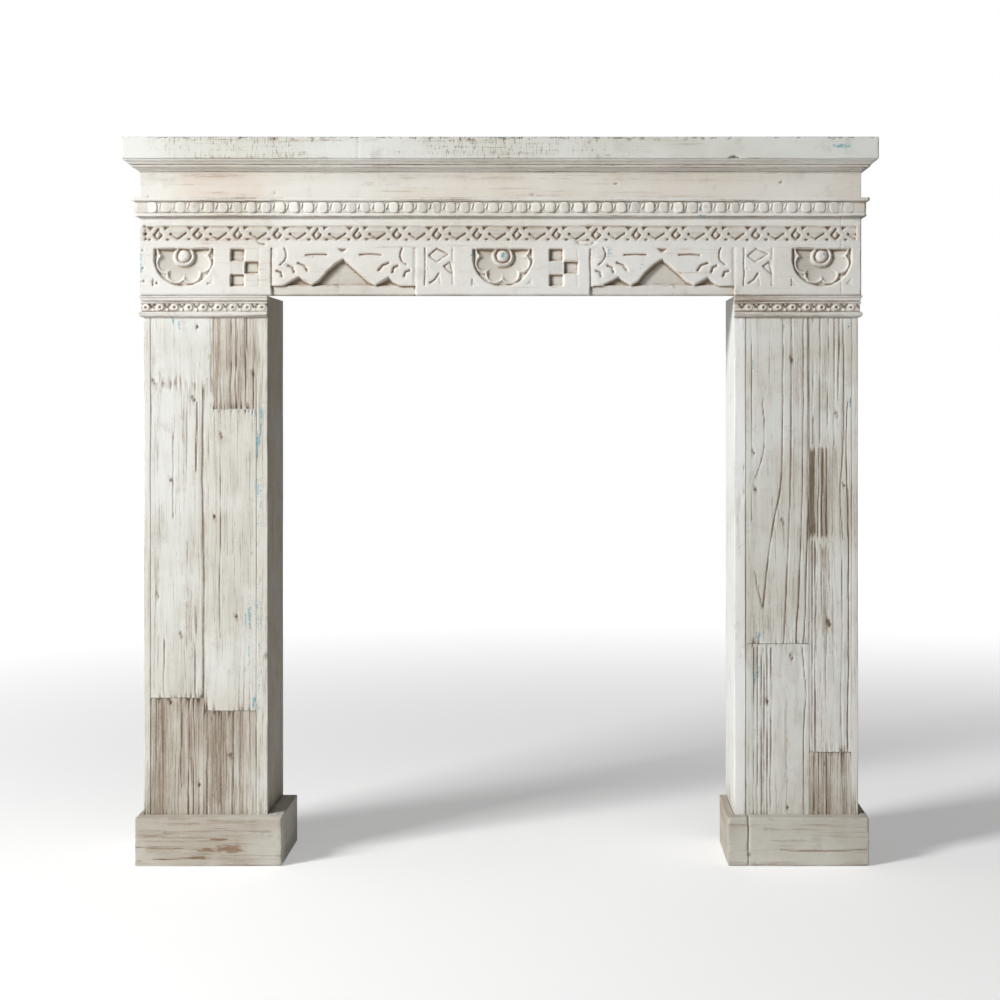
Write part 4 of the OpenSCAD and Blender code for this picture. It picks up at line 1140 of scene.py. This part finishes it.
plank("right_front_outer_top", 271, plank_paint, 0.36, butts=(209,),
      bands=((604, 24, 604, 776, 1.1), (582, 5, 604, 776, 2.2), (600, 22, 420, 594, 0.9),
             (600, 20, 206, 425, 0.6), (646, 5, 206, 700, 0.5), (616, 12, 300, 594, 0.4)),
      lines=((583, 780, 1040), (596, 780, 1040), (611, 780, 1040), (622, 780, 1040), (631, 860, 1040),
             (581, 206, 600), (587, 206, 600), (636, 206, 620), (593, 606, 774), (600, 606, 774),
             (608, 606, 774)),
      splits=((2.8, [(640, 1022), (641, 760), (631, 700), (640, 600)]),
              (2.8, [(648, 860), (643, 760), (651, 620), (647, 206)])),
      holes=((627, 837, 2.2), (641, 704, 2.2), (612, 447, 2.4)),
      teals=((652, 860, 3, 16), (648, 1000, 4, 10)))
plank("right_front_outer_foot", 281, grooved_paint, 0.5, butts=(203,),
      bands=((600, 24, -40, 240, 0.8), (642, 8, -40, 240, 1.2)),
      lines=((584, -5, 206), (594, -5, 206), (608, -5, 206)))

# ---- Plinths ----
# A low box of short boards round the foot of each leg, nailed on. Their upper arrises are rubbed round
# and wavy; the left front board has a crack, a knot and a bare rusty patch.
plinth_paint = whitewash("whitewashed_plinth", "X", (0.70, 0.685, 0.625), (0.58, 0.55, 0.475),
                         (0.38, 0.24, 0.15), (0.12, 0.085, 0.06), dirty=-0.05, open_grain=0.7)
plinth_side_paint = whitewash("whitewashed_plinth_side", "Y", (0.70, 0.68, 0.62), (0.58, 0.54, 0.47),
                              (0.38, 0.27, 0.18), (0.12, 0.09, 0.065), dirty=0.1, open_grain=0.6)


def plinth_work(seed, dirty, cracks=(), rust=(), knots=()):
    """Makes the work for a plinth's front board.

    dirty is how brown its grain is, cracks are routes, rust are (x, z, wide, tall) of bare, reddish wood and
    knots are (x, z, radius)."""

    def work(points, out, arris):
        x, y, z = points.T
        front = np.clip(-out[:, 1], 0, 1)
        grain = rise(noise(points, (110, 30, 2.6), seed, 2), 0.3, 0.85)
        fine = rise(noise(points, (50, 30, 1.7), seed + 2, 2), 0.0, 0.8)
        smooth = 1 - 0.8 * rise(x, -458, -446) * (x < 0)
        sunk = (0.6 * grain + 0.3 * fine) * smooth
        dirt = (0.5 * grain + 0.35 * fine) * dirty * smooth + 0.3 * rise(-z, -12, -2)
        bare = np.zeros(len(x))
        for route in cracks:
            line = cut(x, z, route, 3.0, 1.0)
            sunk, dirt = sunk + 1.8 * line, dirt + 0.8 * line
        ragged = noise(points, (16, 30, 2.6), seed + 3, 3)
        for spot_x, spot_z, wide, tall in rust:
            far = np.hypot((x - spot_x) / wide, (z - spot_z) / tall)
            bare = bare + 0.95 * rise(1.05 - far + 0.7 * ragged, 0.0, 1.0)
        for knot_x, knot_z, r in knots:
            far = np.hypot((x - knot_x) / (1.6 * r), (z - knot_z) / r)
            sunk = sunk + 0.7 * hump(far - 1.1, 0.3)
            dirt = dirt + 0.4 * np.exp(-far ** 2)
        rubbed = rise(noise(points, (44, 30, 30), seed + 5, 2), -0.3, 0.3)
        worn = 0.85 * arris * (0.5 + 0.5 * noise(points, (60, 20, 20), seed + 1, 2))
        bare = bare + 0.55 * rubbed * hump(z.max() - 4.0 - z + 1.5 * ragged, 1.6)
        film_and_shade = 0.5 * front * dirty ** 2 * (0.7 + 0.6 * noise(points, (70, 30, 40), seed + 4, 2))
        return front * sunk, {"cavity": front * dirt + 0.2 * arris, "bare": bare * front, "worn": worn,
                              "film_and_shade": film_and_shade}

    return work


for node, seed, dirty, features in (
        ("left_plinth_front", 301, 1.0,
         {"cracks": ([(-676, 34), (-610, 33), (-560, 31), (-525, 33)], [(-640, 12), (-560, 15)]),
          "rust": ((-500, 32, 52, 12), (-540, 31, 28, 5), (-520, 50, 30, 3.5), (-560, 16, 34, 5)),
          "knots": ((-428, 57, 6),)}),
        ("right_plinth_front", 311, 0.4,
         {"cracks": ([(520, 30), (600, 28), (682, 31)],), "rust": ((461, 22, 3, 10),)}),
        ("right_plinth_end_block", 321, 0.4, {"rust": ((458, 24, 3, 9),)})):
    worked_block(node + "_board", node, (3.4, 3.0, 2.0), plinth_paint, plinth_work(seed, dirty, **features),
                 radius=3.4, ragged=1.0, dents=0.9, seed=seed)
for node, seed in (("left_plinth_outer", 331), ("left_plinth_inner", 341), ("right_plinth_outer", 351),
                   ("right_plinth_inner", 361)):
    worked_block(node + "_board", node, (3.6, 5.0, 3.6), plinth_side_paint, plain_work, radius=2.6,
                 ragged=0.9, grain=1, dents=0.9, seed=seed)

# ---- Floor, light and camera ----
# A pale studio floor that glows a little, more so far from the piece, so that it runs into a white
# background. A low sun and one soft panel light the piece from the left.
floor_paint = bpy.data.materials.new("pale_floor")
floor_paint.use_nodes = True
floor_shader = floor_paint.node_tree.nodes["Principled BSDF"]
cloud = Wire(floor_paint.node_tree, floor_shader.inputs[0]).node(
    "ShaderNodeTexNoise", inputs={"Scale": 2.0, "Detail": 3.0})
pale = cloud.between((0.94, 0.94, 0.935, 1), (0.96, 0.96, 0.96, 1))
floor_paint.node_tree.links.new(pale.socket, floor_shader.inputs["Base Color"])
floor_shader.inputs["Roughness"].default_value = 0.9
place = cloud.node("ShaderNodeTexCoord", out="Object")
away = place.node("ShaderNodeVectorMath", {"operation": "LENGTH"}, {0: place}, out="Value")
glow = cloud.node("ShaderNodeLightPath") * away.span(0.8, 4.5, 0.3, 0.8)
glow = glow.between((0, 0, 0, 1), (1, 1, 1, 1))
floor_paint.node_tree.links.new(glow.socket, floor_shader.inputs["Emission Color"])
floor_shader.inputs["Emission Strength"].default_value = 1.0
floor_mesh = bpy.data.meshes.new("floor")
floor_mesh.from_pydata([(-9, -9, 0), (9, -9, 0), (9, 9, 0), (-9, 9, 0)], [], [(0, 1, 2, 3)])
floor_mesh.materials.append(floor_paint)
floor = bpy.data.objects.new("floor", floor_mesh)
bpy.context.scene.collection.objects.link(floor)

world = bpy.data.worlds.new("studio")
world.use_nodes = True
sky = world.node_tree.nodes["Background"]
seen = Wire(world.node_tree, sky.inputs[0]).node("ShaderNodeLightPath")
world.node_tree.links.new((seen * 0.89 + 0.11).socket, sky.inputs["Strength"])
sky.inputs["Color"].default_value = (1.0, 1.0, 1.0, 1.0)
bpy.context.scene.world = world
bpy.context.scene.view_settings.view_transform = "Standard"


def lamp(name, kind, power, at, towards, **settings):
    """A soft lamp that points at a place."""
    light = bpy.data.objects.new(name, bpy.data.lights.new(name, kind))
    light.data.energy = power
    for key, value in settings.items():
        setattr(light.data, key, value)
    light.location = at
    x, y, z = (towards[i] - at[i] for i in range(3))
    light.rotation_euler = (math.atan2(math.hypot(x, y), -z), 0, math.atan2(y, x) - quarter)
    bpy.context.scene.collection.objects.link(light)


lamp("key", "SUN", 1.0, (-3.0, -2.1, 2.4), (0.0, 0.0, 0.9), angle=0.2)
lamp("left_panel", "AREA", 122, (-3.0, -2.4, 2.5), (-0.2, 0.0, 0.8), size=1.1)

camera = bpy.data.objects.new("camera", bpy.data.cameras.new("camera"))
camera.location = (0.129, -3.586, 0.8725)
camera.rotation_euler = (quarter, 0, 0)
camera.data.lens = 67.7
camera.data.shift_x = -0.07
camera.data.shift_y = -0.105
bpy.context.scene.collection.objects.link(camera)
bpy.context.scene.camera = camera
